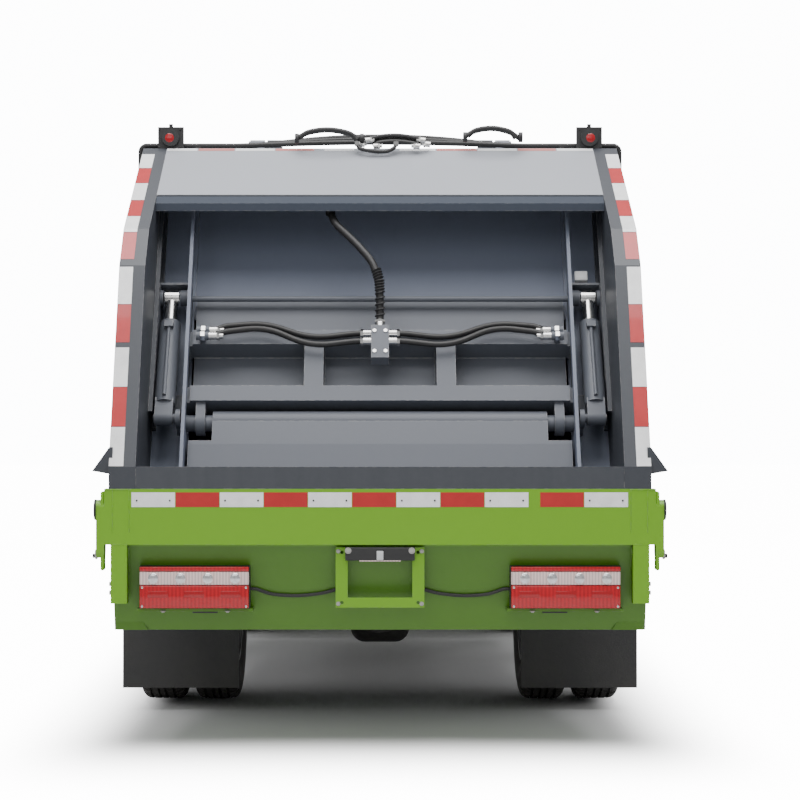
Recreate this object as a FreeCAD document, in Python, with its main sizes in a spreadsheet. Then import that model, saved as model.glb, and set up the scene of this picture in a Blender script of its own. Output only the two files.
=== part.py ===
import FreeCAD, Part
import math
import os
import re
import Sketcher

# Rear-loading refuse truck: cab-over chassis, fixed container with an ejector,
# and a tailgate that carries the hopper, the packer carriage and its scraper.
# Frame: +X to the vehicle's right, +Y forward, +Z up, origin on the floor under the middle.

SIZES = {
    # whole vehicle
    "overall_length": 5300,
    "front_overhang": 1030,
    "wheelbase": 2800,
    "running_gap": 6,
    "pin_gap": 0.3,
    "seat_gap": 0.3,
    "cut_over": 30,
    # tyres and rims
    "tyre_radius": 375,
    "tyre_width": 185,
    "tyre_crown": 62,
    "tyre_shoulder_drop": 20,
    "tyre_bead_radius": 212,
    "tyre_bead_half": 68,
    "front_track": 1460,
    "dual_track": 1520,
    "dual_spacing": 215,
    "rim_wall": 9,
    "rim_lip": 10,
    "rim_lip_wide": 12,
    "rim_well_radius": 188,
    "rim_well_half": 34,
    "disc_wall": 12,
    "disc_offset": 44,
    "hub_radius": 78,
    "hub_cap_radius": 52,
    "hub_cap_out": 34,
    "hand_hole_radius": 19,
    "hand_hole_circle": 132,
    "hand_hole_number": 6,
    # chassis
    "rail_half": 350,
    "rail_flange": 60,
    "rail_wall": 7,
    "rail_height": 160,
    "rail_top": 680,
    "rail_front_gap": 170,
    "rail_rear_gap": 520,
    "cross_width": 90,
    "bearer_height": 55,
    "bearer_width": 60,
    "hanger_depth": 50,
    "hanger_height": 44,
    "cab_post_wide": 60,
    # springs and axles
    "spring_centre": 320,
    "spring_width": 58,
    "spring_half": 470,
    "spring_eye_radius": 21,
    "spring_eye_drop": 24,
    "spring_thick": 42,
    "front_spring_sag": 92,
    "rear_spring_sag": 12,
    "front_beam_height": 62,
    "front_beam_depth": 84,
    "front_beam_half": 575,
    "front_beam_drop": 12,
    "clamp_width": 110,
    "rear_tube_radius": 60,
    "rear_tube_half": 524,
    "rear_bowl_radius": 148,
    "rear_bowl_half": 120,
    "rear_cover_radius": 96,
    "stub_radius": 30,
    "stub_length": 96,
    # steering
    "kingpin_half": 600,
    "kingpin_radius": 19,
    "kingpin_boss_radius": 36,
    "kingpin_boss_half": 44,
    "knuckle_lug_height": 26,
    "knuckle_plate_x": 642,
    "knuckle_plate_wall": 22,
    "knuckle_plate_depth": 76,
    "steering_arm_length": 175,
    "steering_arm_width": 40,
    "steering_arm_wall": 18,
    "tie_rod_radius": 12,
    "tie_ball_radius": 20,
    "tie_ball_height": 26,
    # engine, gearbox, exhaust
    "engine_half": 225,
    "engine_bottom": 430,
    "engine_top": 905,
    "engine_ahead": 320,
    "engine_behind": 440,
    "tunnel_gap": 15,
    "gearbox_half": 120,
    "gearbox_length": 520,
    "gearbox_bottom": 450,
    "gearbox_top": 660,
    "shaft_radius": 38,
    "silencer_radius": 85,
    "silencer_length": 520,
    "silencer_x": 470,
    "silencer_z": 590,
    "silencer_ahead": 620,
    "exhaust_radius": 28,
    "exhaust_reach": 280,
    # side equipment
    "tank_inner": 372,
    "tank_outer": 850,
    "tank_bottom": 330,
    "tank_top": 640,
    "fuel_behind": 1600,
    "fuel_length": 700,
    "oil_behind": 1740,
    "oil_length": 520,
    "strap_width": 45,
    "strap_out": 6,
    "cap_radius": 45,
    "cap_height": 26,
    "guard_out": 905,
    "guard_wall": 26,
    "guard_bar": 90,
    "guard_low": 400,
    "guard_high": 620,
    "guard_ahead": 490,
    "guard_behind": 600,
    "guard_arm": 40,
    # front bumper
    "bumper_half": 900,
    "bumper_bottom": 375,
    "bumper_height": 210,
    "bumper_depth": 150,
    "bumper_wall": 60,
    "bumper_wrap": 330,
    "bumper_wrap_wall": 40,
    "fog_half": 90,
    "fog_x": 640,
    "fog_height": 80,
    "tow_bore_radius": 20,
    "tow_socket_radius": 34,
    "slot_side": 240,
    "tow_plate_x": 320,
    "tow_plate_wall": 24,
    "tow_plate_half": 48,
    # rear mudguards and flaps
    "guard_radius": 402,
    "mudguard_wall": 6,
    "mudguard_inner": 548,
    "mudguard_outer": 1000,
    "flap_wall": 8,
    "flap_bottom": 90,
    "flap_top": 520,
    "flap_bar_radius": 17,
    # container
    "container_rear_gap": 1500,
    "container_length": 2100,
    "container_half": 842,
    "container_wall": 25,
    "container_floor": 800,
    "container_floor_wall": 20,
    "container_top": 2190,
    "rib_width": 70,
    "rib_depth": 14,
    "rib_number": 5,
    # tailgate
    "door_gap": 6,
    "hinge_rise": 46,
    "hinge_pin_radius": 18,
    "hinge_lug_radius": 40,
    "hinge_lug_x": 430,
    "hinge_lug_width": 60,
    "side_outer": 922,
    "side_inner": 830,
    "front_side_outer": 842,
    "sill_height": 975,
    "sill_face": 75,
    "sill_depth": 22,
    "side_break_out": 300,
    "side_break_height": 1680,
    "side_bend_out": 430,
    "side_bend_height": 1820,
    "lip_out": 690,
    "lip_height": 1968,
    "roof_break_out": 1080,
    "cheek_front_out": 1156,
    "roof_wall": 25,
    "bowl_radius": 462,
    "bowl_wall": 20,
    "sub_rear": 20,
    "cross_end": 60,
    "cross_reach": 1060,
    "cross_height": 80,
    "bearer_first": 760,
    "fog_deep": 26,
    "bumper_slot_low": 62,
    "hinge_foot": 120,
    "bend_share": 0.45,
    "hinge_eye_x": 500,
    "hinge_pin_middle": 465,
    "hinge_pin_half": 66,
    "lift_x": 894,
    "lift_radius": 29,
    "lift_boss_radius": 34,
    "lift_pin_radius": 14,
    "lift_ahead": 650,
    "lift_base_z": 1200,
    "lift_behind": 250,
    "lift_eye_z": 1980,
    "ejector_gap": 20,
    "ejector_wall": 40,
    "ejector_slant": 260,
    "ejector_toe": 420,
    "cheek_heel_out": 801,
    "cheek_toe_out": 640,
    "cheek_back_out": 120,
    "cheek_low": 700,
    "lip_fold": 36,
    "lip_drop": 34,
    "sill_back": 60,
    # packer: the slide's line through the scraper's pivot
    "slide_lean": 29,
    "pivot_out": 450,
    "pivot_rise": 320,
    "guide_clear": 62,
    "guide_wall": 13.7,
    "guide_depth": 15,
    "guide_low": 10,
    "guide_high": 960,
    "front_wall_near": 76,
    "front_wall": 12,
    "front_wall_low": 485,
    "front_wall_top": 1150,
    "liner_inner": 694,
    "liner_wall": 12,
    "liner_back": 108,
    "liner_top": 1000,
    "liner_cap": 40,
    "slot_half": 66,
    "slot_low": 56,
    # carriage
    "carriage_half": 684,
    "beam_rear": 60,
    "panel_near": 40,
    "panel_wall": 18,
    "low_beam_base": 62,
    "low_beam_height": 62,
    "top_beam_base": 298,
    "top_beam_height": 60,
    "upright_x": 240,
    "upright_width": 70,
    "panel_top": 560,
    "arm_inner": 700,
    "arm_outer": 816,
    "arm_wall": 8,
    "arm_half": 45,
    "arm_top": 586,
    "arm_tie": 80,
    "shoe_reach": 2,
    "shoe_half": 61.7,
    "shoe_height": 90,
    "cross_pipe_radius": 11,
    "cross_pipe_rear": 4,
    "eye_height": 532,
    "eye_radius": 30,
    "eye_bore_radius": 17,
    "lug_x": 645,
    "lug_wall": 34,
    "lug_radius": 46,
    # scraper
    "scraper_half": 600,
    "scraper_wide": 684,
    "scraper_tube": 44,
    "pivot_radius": 30,
    "blade_rear": 50,
    "blade_front": 44,
    "blade_shoulder": 110,
    "blade_step": 96,
    "blade_toe": 440,
    "blade_toe_rear": 26,
    "blade_toe_front": 12,
    "blade_lift": 16,
    "crank_x": 721.5,
    "crank_wall": 17,
    "crank_radius": 66,
    "crank_tilt": 12,
    "crank_eye_radius": 32,
    "crank_pin_radius": 16,
    "clevis_gap": 6,
    "ram_x": 773,
    "ram_eye_half": 26,
    "ram_foot_half": 32,
    "ram_foot_radius": 26,
    "barrel_radius": 38,
    "barrel_length": 352,
    "barrel_clevis": 58,
    "ram_rod_radius": 22,
    "ram_collar": 16,
    # cylinders on the tailgate
    "ram_pipe_radius": 7,
    "ram_rod_inside": 100,
    "lift_clevis": 45,
    "lift_barrel": 950,
    "lift_gland": 3,
    "lift_rod_radius": 17,
    # packer hoses
    "hose_radius": 11,
    "hose_step": 55,
    "hose_pitch": 46,
    "hose_root": 333,
    "hose_dip": 22,
    "hose_rise": 44,
    "hose_lift": 16,
    "port_pitch": 37,
    "hose_end": 668,
    "manifold_half": 32,
    "manifold_deep": 54,
    "manifold_drop": 88,
    "manifold_height": 137,
    "supply_radius": 14,
    "supply_wall": 4,
    "supply_out": 720,
    "supply_drop": 52,
    "supply_x": 185,
    "supply_stand": 44,
    "fitting_wall": 5,
    "fitting_length": 46,
    # green frame under the sill
    "frame_half": 937,
    "frame_depth": 60,
    "frame_wall": 8,
    "frame_beam_low": 710,
    "frame_low": 410,
    "panel_top_out": 36,
    "panel_low_out": 120,
    "post_inner": 860,
    "post_outer": 915,
    "post_depth": 60,
    "post_low": 510,
    "corner_inner": 847,
    "corner_outer": 915,
    "corner_low": 750,
    "corner_back": 14,
    "ear_wall": 28,
    "ear_radius": 26,
    "ear_high": 836,
    "ear_low": 690,
    "drain_out": 720,
    "drain_rise": 90,
    "tank_lid": 690,
    "lamp_inner": 444,
    "lamp_outer": 820,
    "lamp_low": 490,
    "lamp_height": 146,
    "lamp_rim": 10,
    "lamp_out": 34,
    "lamp_depth": 50,
    "lens_out": 20,
    "bracket_x": 120,
    "bracket_half": 151,
    "bracket_window": 110,
    "bracket_low": 495,
    "bracket_top": 700,
    "bracket_rim": 34,
    "bracket_out": 26,
    "bracket_bore_x": 130,
    "bracket_bore_radius": 6,
    "cable_radius": 6,
    "cable_end": 555,
    "cable_sag": 26,
    "hook_out": 58,
    "hook_low": 948,
    "hook_high": 1041,
    "hook_wall": 22,
    "hook_in": 12,
    "plate_lamp_half": 118,
    "plate_lamp_out": 17,
    "plate_lamp_low": 656,
    "plate_lamp_height": 46,
    # lamps and pipes on the roof
    "marker_x": 816,
    "marker_half": 50,
    "marker_out": 1084,
    "marker_depth": 20,
    "marker_height": 84,
    "marker_lens_radius": 34,
    "marker_lens_out": 14,
    "marker_stud_radius": 8,
    "marker_stud": 12,
    "pipe_radius": 10,
    "pipe_out": 1120,
    "pipe_pitch": 24,
    "pipe_stand": 4.6,
    "pipe_bend": 24,
    "pipe_clip": 22,
    "pipe_clip_x": 700,
    "pipe_middle": 560,
    "pipe_hump": 14,
    "pipe_drop": 180,
    "pipe_forward": 300,
    "pipe_left_foot": 1460,
    "pipe_right_foot": 1670,
    # cab
    "cab_gap": 140,
    "cab_set_back": 60,
    "cab_half": 880,
    "cab_wall": 40,
    "cab_bottom": 697,
    "cab_top": 2060,
    "cab_roof_round": 90,
    "cab_edge": 28,
    "roof_front_back": 420,
    "screen_back": 330,
    "nose_back": 70,
    "nose_drop": 140,
    "waist": 1300,
    "platform": 970,
    "platform_deep": 900,
    "arch_radius": 470,
    "arch_wall": 14,
    "arch_lip": 34,
    "well_inner": 420,
    "door_behind": 140,
    "door_ahead": 820,
    "door_hinge_out": 9,
    "door_hinge_radius": 8,
    "door_pin_radius": 4.5,
    "door_hinge_high": 30,
    "door_hinge_leaf": 44,
    "door_hinge_wall": 3,
    "door_hinge_low": 860,
    "door_hinge_rise": 380,
    "door_bottom": 760,
    "door_top": 1930,
    "door_rake": 215,
    "door_gap_wide": 6,
    "frame_width": 62,
    "window_sill": 30,
    "glass_in": 12,
    "glass_wall": 5,
    "handle_out": 18,
    "handle_long": 150,
    "handle_drop": 130,
    "handle_high": 34,
    "screen_half": 780,
    "rear_window_half": 420,
    "rear_window_low": 1480,
    "rear_window_high": 1860,
    # cab fittings
    "dash_deep": 330,
    "dash_drop": 60,
    "dash_under": 260,
    "dash_half": 800,
    "column_radius": 26,
    "column_length": 330,
    "column_lean": 28,
    "column_back": 330,
    "column_z": 1050,
    "wheel_x": -400,
    "wheel_radius": 210,
    "wheel_grip": 14,
    "passenger_x": 280,
    "seat_width": 500,
    "bench_width": 860,
    "seat_deep": 470,
    "seat_high": 130,
    "back_wall": 110,
    "back_high": 560,
    "head_half": 130,
    "head_high": 170,
    "headlamp_x": 660,
    "headlamp_half": 150,
    "headlamp_out": 24,
    "headlamp_low": 800,
    "headlamp_high": 130,
    "grille_half": 420,
    "grille_out": 14,
    "grille_low": 790,
    "grille_high": 950,
    "grille_slat": 18,
    "stay_radius": 11,
    "stay_in": 20,
    "stay_rise": 110,
    "mirror_x": 985,
    "mirror_back": 70,
    "mirror_low": 1120,
    "mirror_high": 1640,
    "mirror_half": 75,
    "mirror_deep": 50,
    "tilt_back": 85,
    "tilt_height": 640,
    "tilt_pin_radius": 12,
    "tilt_lug_radius": 20,
    "tilt_lug_wall": 18,
    "tilt_ear_wall": 16,
    "ejector_shoe": 60,
    "ejector_shoe_x": 560,
}

doc = FreeCAD.newDocument("refuse_truck")
dims = doc.addObject("Spreadsheet::Sheet", "dims")
for row, (name, value) in enumerate(SIZES.items(), start=1):
    dims.set(f"A{row}", name)
    dims.set(f"B{row}", str(value))
    dims.setAlias(f"B{row}", name)
doc.recompute()

AXES = {
    "X": FreeCAD.Vector(1, 0, 0),
    "Y": FreeCAD.Vector(0, 1, 0),
    "Z": FreeCAD.Vector(0, 0, 1),
}
# A sketch on YZ has its x along Y and its y along Z, and so on.
PLANES = {
    "YZ": ("X", FreeCAD.Rotation(FreeCAD.Vector(1, 1, 1), 120)),
    "XZ": ("Y", FreeCAD.Rotation(FreeCAD.Vector(1, 0, 0), 90)),
    "XY": ("Z", FreeCAD.Rotation()),
}
# A cylinder stands on Z: these turn it along X or Y.
TURNS = {
    "X": FreeCAD.Rotation(FreeCAD.Vector(0, 1, 0), 90),
    "Y": FreeCAD.Rotation(FreeCAD.Vector(1, 0, 0), -90),
    "Z": FreeCAD.Rotation(),
}
parts = []


def cells(expression):
    """The expression with each size's name pointing at its cell of the sheet."""
    return re.sub(r"[a-z_]+", lambda word: "dims." + word[0] if word[0] in SIZES else word[0], expression)


def bind(thing, prop, expression):
    thing.setExpression(prop, cells(expression))


def place(thing, x="0", y="0", z="0"):
    bind(thing, "Placement.Base.x", x)
    bind(thing, "Placement.Base.y", y)
    bind(thing, "Placement.Base.z", z)


def box(x, y, z):
    """A block between the two ends given for each axis."""
    block = doc.addObject("Part::Box", "block")
    for prop, (low, high) in zip(("Length", "Width", "Height"), (x, y, z)):
        bind(block, prop, f"({high}) - ({low})")
    place(block, x[0], y[0], z[0])
    return block


def rod(axis, radius, ends, a="0", b="0"):
    """A round bar along an axis, with a and b its place on the other two axes, in order."""
    bar = doc.addObject("Part::Cylinder", "bar")
    bind(bar, "Radius", radius)
    bind(bar, "Height", f"({ends[1]}) - ({ends[0]})")
    bar.Placement = FreeCAD.Placement(FreeCAD.Vector(), TURNS[axis])
    centre = {"X": (ends[0], a, b), "Y": (a, ends[0], b), "Z": (a, b, ends[0])}[axis]
    place(bar, *centre)
    return bar


def sketch_of(points, host=None):
    """A closed outline whose corners are tied to the expressions given for them."""
    sketch = doc.addObject("Sketcher::SketchObject", "outline")
    corners = [FreeCAD.Vector(*(dims.evalExpression(cells(c)) for c in point), 0) for point in points]
    number = len(corners)
    for i in range(number):
        sketch.addGeometry(Part.LineSegment(corners[i], corners[(i + 1) % number]), False)
    for i in range(number):
        sketch.addConstraint(Sketcher.Constraint("Coincident", i, 2, (i + 1) % number, 1))
    for i, point in enumerate(points):
        across = sketch.addConstraint(Sketcher.Constraint("DistanceX", -1, 1, i, 1, corners[i].x))
        bind(sketch, f"Constraints[{across}]", point[0])
        along = sketch.addConstraint(Sketcher.Constraint("DistanceY", -1, 1, i, 1, corners[i].y))
        bind(sketch, f"Constraints[{along}]", point[1])
    return sketch


def prism(plane, points, ends):
    """An outline on a plane, drawn out between two ends."""
    axis, turn = PLANES[plane]
    sketch = sketch_of(points)
    sketch.Placement = FreeCAD.Placement(FreeCAD.Vector(), turn)
    bind(sketch, f"Placement.Base.{axis.lower()}", ends[0])
    body = doc.addObject("Part::Extrusion", "prism")
    body.Base = sketch
    body.DirMode = "Custom"
    body.Dir = AXES[axis]
    body.Solid = True
    bind(body, "LengthFwd", f"({ends[1]}) - ({ends[0]})")
    return body


def turned(points):
    """An outline of (x, radius) corners turned about the X axis."""
    sketch = sketch_of(points)
    body = doc.addObject("Part::Revolution", "turned")
    body.Source = sketch
    body.Axis = AXES["X"]
    body.Base = FreeCAD.Vector()
    body.Angle = 360
    body.Solid = True
    return body


def fuse(*pieces):
    whole = doc.addObject("Part::MultiFuse", "joined")
    whole.Shapes = list(pieces)
    whole.Refine = True
    return whole


def common(*pieces):
    shared = doc.addObject("Part::MultiCommon", "shared")
    shared.Shapes = list(pieces)
    return shared


def cut(base, *tools):
    rest = doc.addObject("Part::Cut", "rest")
    rest.Base = base
    rest.Tool = tools[0] if len(tools) == 1 else fuse(*tools)
    rest.Refine = True
    return rest


def group(*pieces):
    """Like pieces that don't touch, as one sub-part."""
    several = doc.addObject("Part::Compound", "several")
    several.Links = list(pieces)
    return several


def mirror(piece):
    """The same piece on the vehicle's other side."""
    other = doc.addObject("Part::Mirroring", "mirror")
    other.Source = piece
    other.Normal = AXES["X"]
    return other


def both(piece):
    """The piece and its mirror image."""
    return [piece, mirror(piece)]


def lean(piece, angle, y, z, x="0"):
    """Tilt a piece drawn upright at the origin, then set it at its place."""
    piece.Placement = FreeCAD.Placement(FreeCAD.Vector(), FreeCAD.Rotation(AXES["X"], 1))
    bind(piece, "Placement.Rotation.Angle", angle)
    place(piece, x, y, z)
    return piece


def rounded(piece, size, chosen):
    """Round the edges that the test picks, at the size named."""
    doc.recompute()
    radius = dims.evalExpression(cells(size))
    edges = [i for i, edge in enumerate(piece.Shape.Edges, start=1) if chosen(edge)]
    soft = doc.addObject("Part::Fillet", "soft")
    soft.Base = piece
    soft.Edges = [(i, radius, radius) for i in edges]
    return soft


def along(edge, axis):
    """Whether an edge is straight and runs along the axis."""
    ends = edge.Vertexes
    if len(ends) < 2 or not isinstance(edge.Curve, Part.Line):
        return False
    run = ends[1].Point - ends[0].Point
    return abs(abs(run.dot(AXES[axis])) - run.Length) < run.Length / 1000


def part(label, piece):
    piece.Label = label
    parts.append(piece)
    return piece


def shares(low, high, steps):
    """Places spread evenly from one end to the other, as expressions."""
    return [f"({low}) + (({high}) - ({low})) * {i} / {steps - 1}" for i in range(steps)]

FRONT = "overall_length / 2"
REAR = "(-overall_length / 2)"
FRONT_AXLE = "(overall_length / 2 - front_overhang)"
REAR_AXLE = "(overall_length / 2 - front_overhang - wheelbase)"
RAIL_BOTTOM = "(rail_top - rail_height)"
RAIL_FRONT = f"({FRONT} - rail_front_gap)"
RAIL_REAR = f"({REAR_AXLE} - rail_rear_gap)"
CONTAINER_REAR = f"({REAR} + container_rear_gap)"
CONTAINER_FRONT = f"({CONTAINER_REAR} + container_length)"
EYE_HEIGHT = f"({RAIL_BOTTOM} - spring_eye_drop)"
SIDES = (1, -1)
ENGINE_REAR = f"({FRONT_AXLE} - engine_behind)"
TILT = (f"({FRONT} - cab_set_back - tilt_back)", "tilt_height")


def rail():
    """A pressed channel, open towards the middle."""
    outside = box(
        ("rail_half - rail_flange", "rail_half"), (RAIL_REAR, RAIL_FRONT), (RAIL_BOTTOM, "rail_top")
    )
    inside = box(
        ("rail_half - rail_flange - cut_over", "rail_half - rail_wall"),
        (f"{RAIL_REAR} - cut_over", f"{RAIL_FRONT} + cut_over"),
        (f"{RAIL_BOTTOM} + rail_wall", "rail_top - rail_wall"),
    )
    return cut(outside, inside)


def sorted_ends(first, last, side):
    """Two ends in rising order, given which way the side runs."""
    return (first, last) if side == 1 else (last, first)


def spring_seat(axle, side):
    """A block under the rail with a half-round seat for one spring eye."""
    eye = f"({axle} + {side} * spring_half)"
    block = box(
        ("spring_centre - spring_width / 2", "spring_centre + spring_width / 2"),
        (f"{eye} - hanger_depth / 2", f"{eye} + hanger_depth / 2"),
        (f"{RAIL_BOTTOM} - hanger_height", RAIL_BOTTOM),
    )
    hollow = rod(
        "X", "spring_eye_radius + seat_gap",
        ("spring_centre - spring_width", "spring_centre + spring_width"), eye, EYE_HEIGHT
    )
    outside = sorted_ends(eye, f"{eye} + {side} * (spring_eye_radius + seat_gap)", side)
    inside = sorted_ends(f"{eye} - {side} * hanger_depth", eye, side)
    wide = ("spring_centre - spring_width", "spring_centre + spring_width")
    low = box(wide, outside, (f"{EYE_HEIGHT} - hanger_height", EYE_HEIGHT))
    leaf_way = box(wide, inside, (f"{EYE_HEIGHT} - hanger_height", f"{EYE_HEIGHT} + spring_thick / 2 + seat_gap"))
    return cut(block, hollow, low, leaf_way)


def chassis_frame():
    """Two rails, their cross members, spring hangers, cab posts and the sub-frame on top."""
    side = [rail()]
    for axle in (FRONT_AXLE, REAR_AXLE):
        side += [spring_seat(axle, 1), spring_seat(axle, -1)]
    side.append(box(
        ("rail_half - rail_flange", "rail_half"), (f"{CONTAINER_REAR} + sub_rear", CONTAINER_FRONT),
        ("rail_top", "container_floor - bearer_height")
    ))
    side.append(box(
        ("rail_half - cab_post_wide", "rail_half"),
        (f"{RAIL_FRONT} - cab_post_wide", RAIL_FRONT), ("rail_top", "cab_bottom - seat_gap")
    ))
    ear = rod("X", "tilt_lug_radius", ("rail_half - rail_flange", "rail_half - rail_flange + tilt_lug_wall"), *TILT)
    foot = box(
        ("rail_half - rail_flange", "rail_half - rail_flange + tilt_lug_wall"), (f"{RAIL_FRONT} - cab_post_wide", TILT[0]),
        ("tilt_height - tilt_lug_radius", "tilt_height + tilt_lug_radius")
    )
    pin = rod("X", "tilt_pin_radius", ("rail_half - rail_flange", "rail_half"), *TILT)
    side += [ear, foot, pin]
    crosses = []
    for y in shares(f"{RAIL_REAR} + cross_end", f"{FRONT_AXLE} - cross_reach", 4):
        crosses.append(box(
            ("-rail_half + rail_wall", "rail_half - rail_wall"), (f"{y} - cross_width / 2", f"{y} + cross_width / 2"),
            ("rail_top - rail_wall - cross_height", "rail_top - rail_wall")
        ))
    crosses.append(box(
        ("-rail_half + rail_wall", "rail_half - rail_wall"), (f"{RAIL_FRONT} - cross_width", RAIL_FRONT),
        (f"{RAIL_BOTTOM} + rail_wall", f"{RAIL_BOTTOM} + rail_wall + cross_height")
    ))
    for y in shares(f"{CONTAINER_REAR} + bearer_first", f"{CONTAINER_FRONT} - bearer_width", 6):
        crosses.append(box(
            ("-container_half + container_wall", "container_half - container_wall"),
            (y, f"{y} + bearer_width"), ("container_floor - bearer_height", "container_floor")
        ))
    return part("chassis_frame", fuse(*both(fuse(*side)), *crosses))


def spring(axle, sag):
    """A pack of leaves, one arc from eye to eye."""
    bend = f"((spring_half ^ 2 + {sag} ^ 2) / (2 * {sag}))"
    middle = f"({EYE_HEIGHT} - {sag} + {bend})"
    x = ("spring_centre - spring_width / 2", "spring_centre + spring_width / 2")
    outer = rod("X", f"{bend} + spring_thick / 2", x, axle, middle)
    inner = rod("X", f"{bend} - spring_thick / 2", (f"{x[0]} - cut_over", f"{x[1]} + cut_over"), axle, middle)
    low = box(x, (f"{axle} - spring_half", f"{axle} + spring_half"), (f"{EYE_HEIGHT} - {sag} - spring_thick", EYE_HEIGHT))
    arc = common(cut(outer, inner), low)
    eyes = [rod("X", "spring_eye_radius", x, f"{axle} + {side} * spring_half", EYE_HEIGHT) for side in SIDES]
    return fuse(arc, *eyes)


def front_axle():
    """A drop beam with a kingpin boss at each end, its springs and their clamps."""
    low = "(tyre_radius - front_beam_drop - front_beam_height / 2)"
    beam = box(
        ("-front_beam_half", "front_beam_half"),
        (f"{FRONT_AXLE} - front_beam_depth / 2", f"{FRONT_AXLE} + front_beam_depth / 2"),
        (low, f"{low} + front_beam_height")
    )
    clamp = box(
        ("spring_centre - spring_width / 2", "spring_centre + spring_width / 2"),
        (f"{FRONT_AXLE} - clamp_width / 2", f"{FRONT_AXLE} + clamp_width / 2"),
        (low, f"{EYE_HEIGHT} - front_spring_sag")
    )
    boss = rod(
        "Z", "kingpin_boss_radius",
        ("tyre_radius - kingpin_boss_half", "tyre_radius + kingpin_boss_half"), "kingpin_half", FRONT_AXLE
    )
    pin = rod(
        "Z", "kingpin_radius",
        ("tyre_radius - kingpin_boss_half - running_gap - knuckle_lug_height",
         "tyre_radius + kingpin_boss_half + running_gap + knuckle_lug_height"),
        "kingpin_half", FRONT_AXLE
    )
    side = fuse(clamp, boss, pin, spring(FRONT_AXLE, "front_spring_sag"))
    return part("front_axle", fuse(beam, *both(side)))


def rear_axle():
    """A banjo housing with its cover, springs and the stubs that the wheels turn on."""
    tube = rod("X", "rear_tube_radius", ("-rear_tube_half", "rear_tube_half"), REAR_AXLE, "tyre_radius")
    bowl = rod("X", "rear_bowl_radius", ("-rear_bowl_half", "rear_bowl_half"), REAR_AXLE, "tyre_radius")
    bowl = rounded(bowl, "rear_bowl_half / 2", lambda edge: not along(edge, "X"))
    cover = rod(
        "Y", "rear_cover_radius",
        (f"{REAR_AXLE} - rear_bowl_radius - disc_wall", REAR_AXLE), "0", "tyre_radius"
    )
    nose = rod(
        "Y", "rear_tube_radius", (REAR_AXLE, f"{REAR_AXLE} + rear_bowl_radius + rear_tube_radius"), "0", "tyre_radius"
    )
    stub = rod("X", "stub_radius", ("rear_tube_half", "rear_tube_half + stub_length"), REAR_AXLE, "tyre_radius")
    clamp = box(
        ("spring_centre - spring_width / 2", "spring_centre + spring_width / 2"),
        (f"{REAR_AXLE} - clamp_width / 2", f"{REAR_AXLE} + clamp_width / 2"),
        ("tyre_radius", f"{EYE_HEIGHT} - rear_spring_sag")
    )
    side = fuse(stub, clamp, spring(REAR_AXLE, "rear_spring_sag"))
    return part("rear_axle", fuse(tube, bowl, cover, nose, *both(side)))


def knuckle():
    """A fork round the kingpin with the wheel's stub and the steering arm."""
    top = "(tyre_radius + kingpin_boss_half + running_gap)"
    low = "(tyre_radius - kingpin_boss_half - running_gap - knuckle_lug_height)"
    lugs = []
    for z in (top, low):
        eye = rod("Z", "kingpin_boss_radius", (z, f"{z} + knuckle_lug_height"), "kingpin_half", FRONT_AXLE)
        neck = box(
            ("kingpin_half", "knuckle_plate_x + knuckle_plate_wall"),
            (f"{FRONT_AXLE} - kingpin_boss_radius", f"{FRONT_AXLE} + kingpin_boss_radius"),
            (z, f"{z} + knuckle_lug_height")
        )
        lugs += [eye, neck]
    plate = box(
        ("knuckle_plate_x", "knuckle_plate_x + knuckle_plate_wall"),
        (f"{FRONT_AXLE} - knuckle_plate_depth / 2", f"{FRONT_AXLE} + knuckle_plate_depth / 2"),
        (low, f"{top} + knuckle_lug_height")
    )
    stub = rod("X", "stub_radius", ("knuckle_plate_x", "knuckle_plate_x + stub_length"), FRONT_AXLE, "tyre_radius")
    arm = box(
        ("kingpin_half - steering_arm_width / 2", "kingpin_half + steering_arm_width / 2"),
        (f"{FRONT_AXLE} - steering_arm_length - steering_arm_width / 2", FRONT_AXLE),
        (low, f"{low} + steering_arm_wall")
    )
    bore = rod(
        "Z", "kingpin_radius + pin_gap", (f"{low} - cut_over", f"{top} + knuckle_lug_height + cut_over"),
        "kingpin_half", FRONT_AXLE
    )
    return cut(fuse(*lugs, plate, stub, arm), bore)


def steering():
    right = part("knuckle_right", knuckle())
    part("knuckle_left", mirror(knuckle()))
    low = "(tyre_radius - kingpin_boss_half - running_gap - knuckle_lug_height)"
    y = f"({FRONT_AXLE} - steering_arm_length)"
    z = f"({low} - tie_ball_height / 2 - seat_gap)"
    bar = rod("X", "tie_rod_radius", ("-kingpin_half", "kingpin_half"), y, z)
    ends = [rod(
        "Z", "tie_ball_radius", (f"{z} - tie_ball_height / 2", f"{z} + tie_ball_height / 2"),
        f"{side} * kingpin_half", y
    ) for side in SIDES]
    part("tie_rod", fuse(bar, *ends))
    return right


def tyre():
    """Half the section drawn from bead to crown, then its mirror, as one turned outline."""
    half = [
        ("tyre_bead_half", "tyre_bead_radius"),
        ("tyre_bead_half", "tyre_bead_radius + rim_lip + seat_gap"),
        ("tyre_width * 0.475", "tyre_bead_radius + (tyre_radius - tyre_bead_radius) * 0.2"),
        ("tyre_width / 2", "tyre_bead_radius + (tyre_radius - tyre_bead_radius) * 0.5"),
        ("tyre_width * 0.48", "tyre_radius - tyre_shoulder_drop * 2"),
        ("tyre_width * 0.42", "tyre_radius - tyre_shoulder_drop / 2"),
        ("tyre_crown", "tyre_radius"),
    ]
    left = [(f"-({x})", r) for x, r in half]
    return turned(half + left[::-1])


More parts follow.
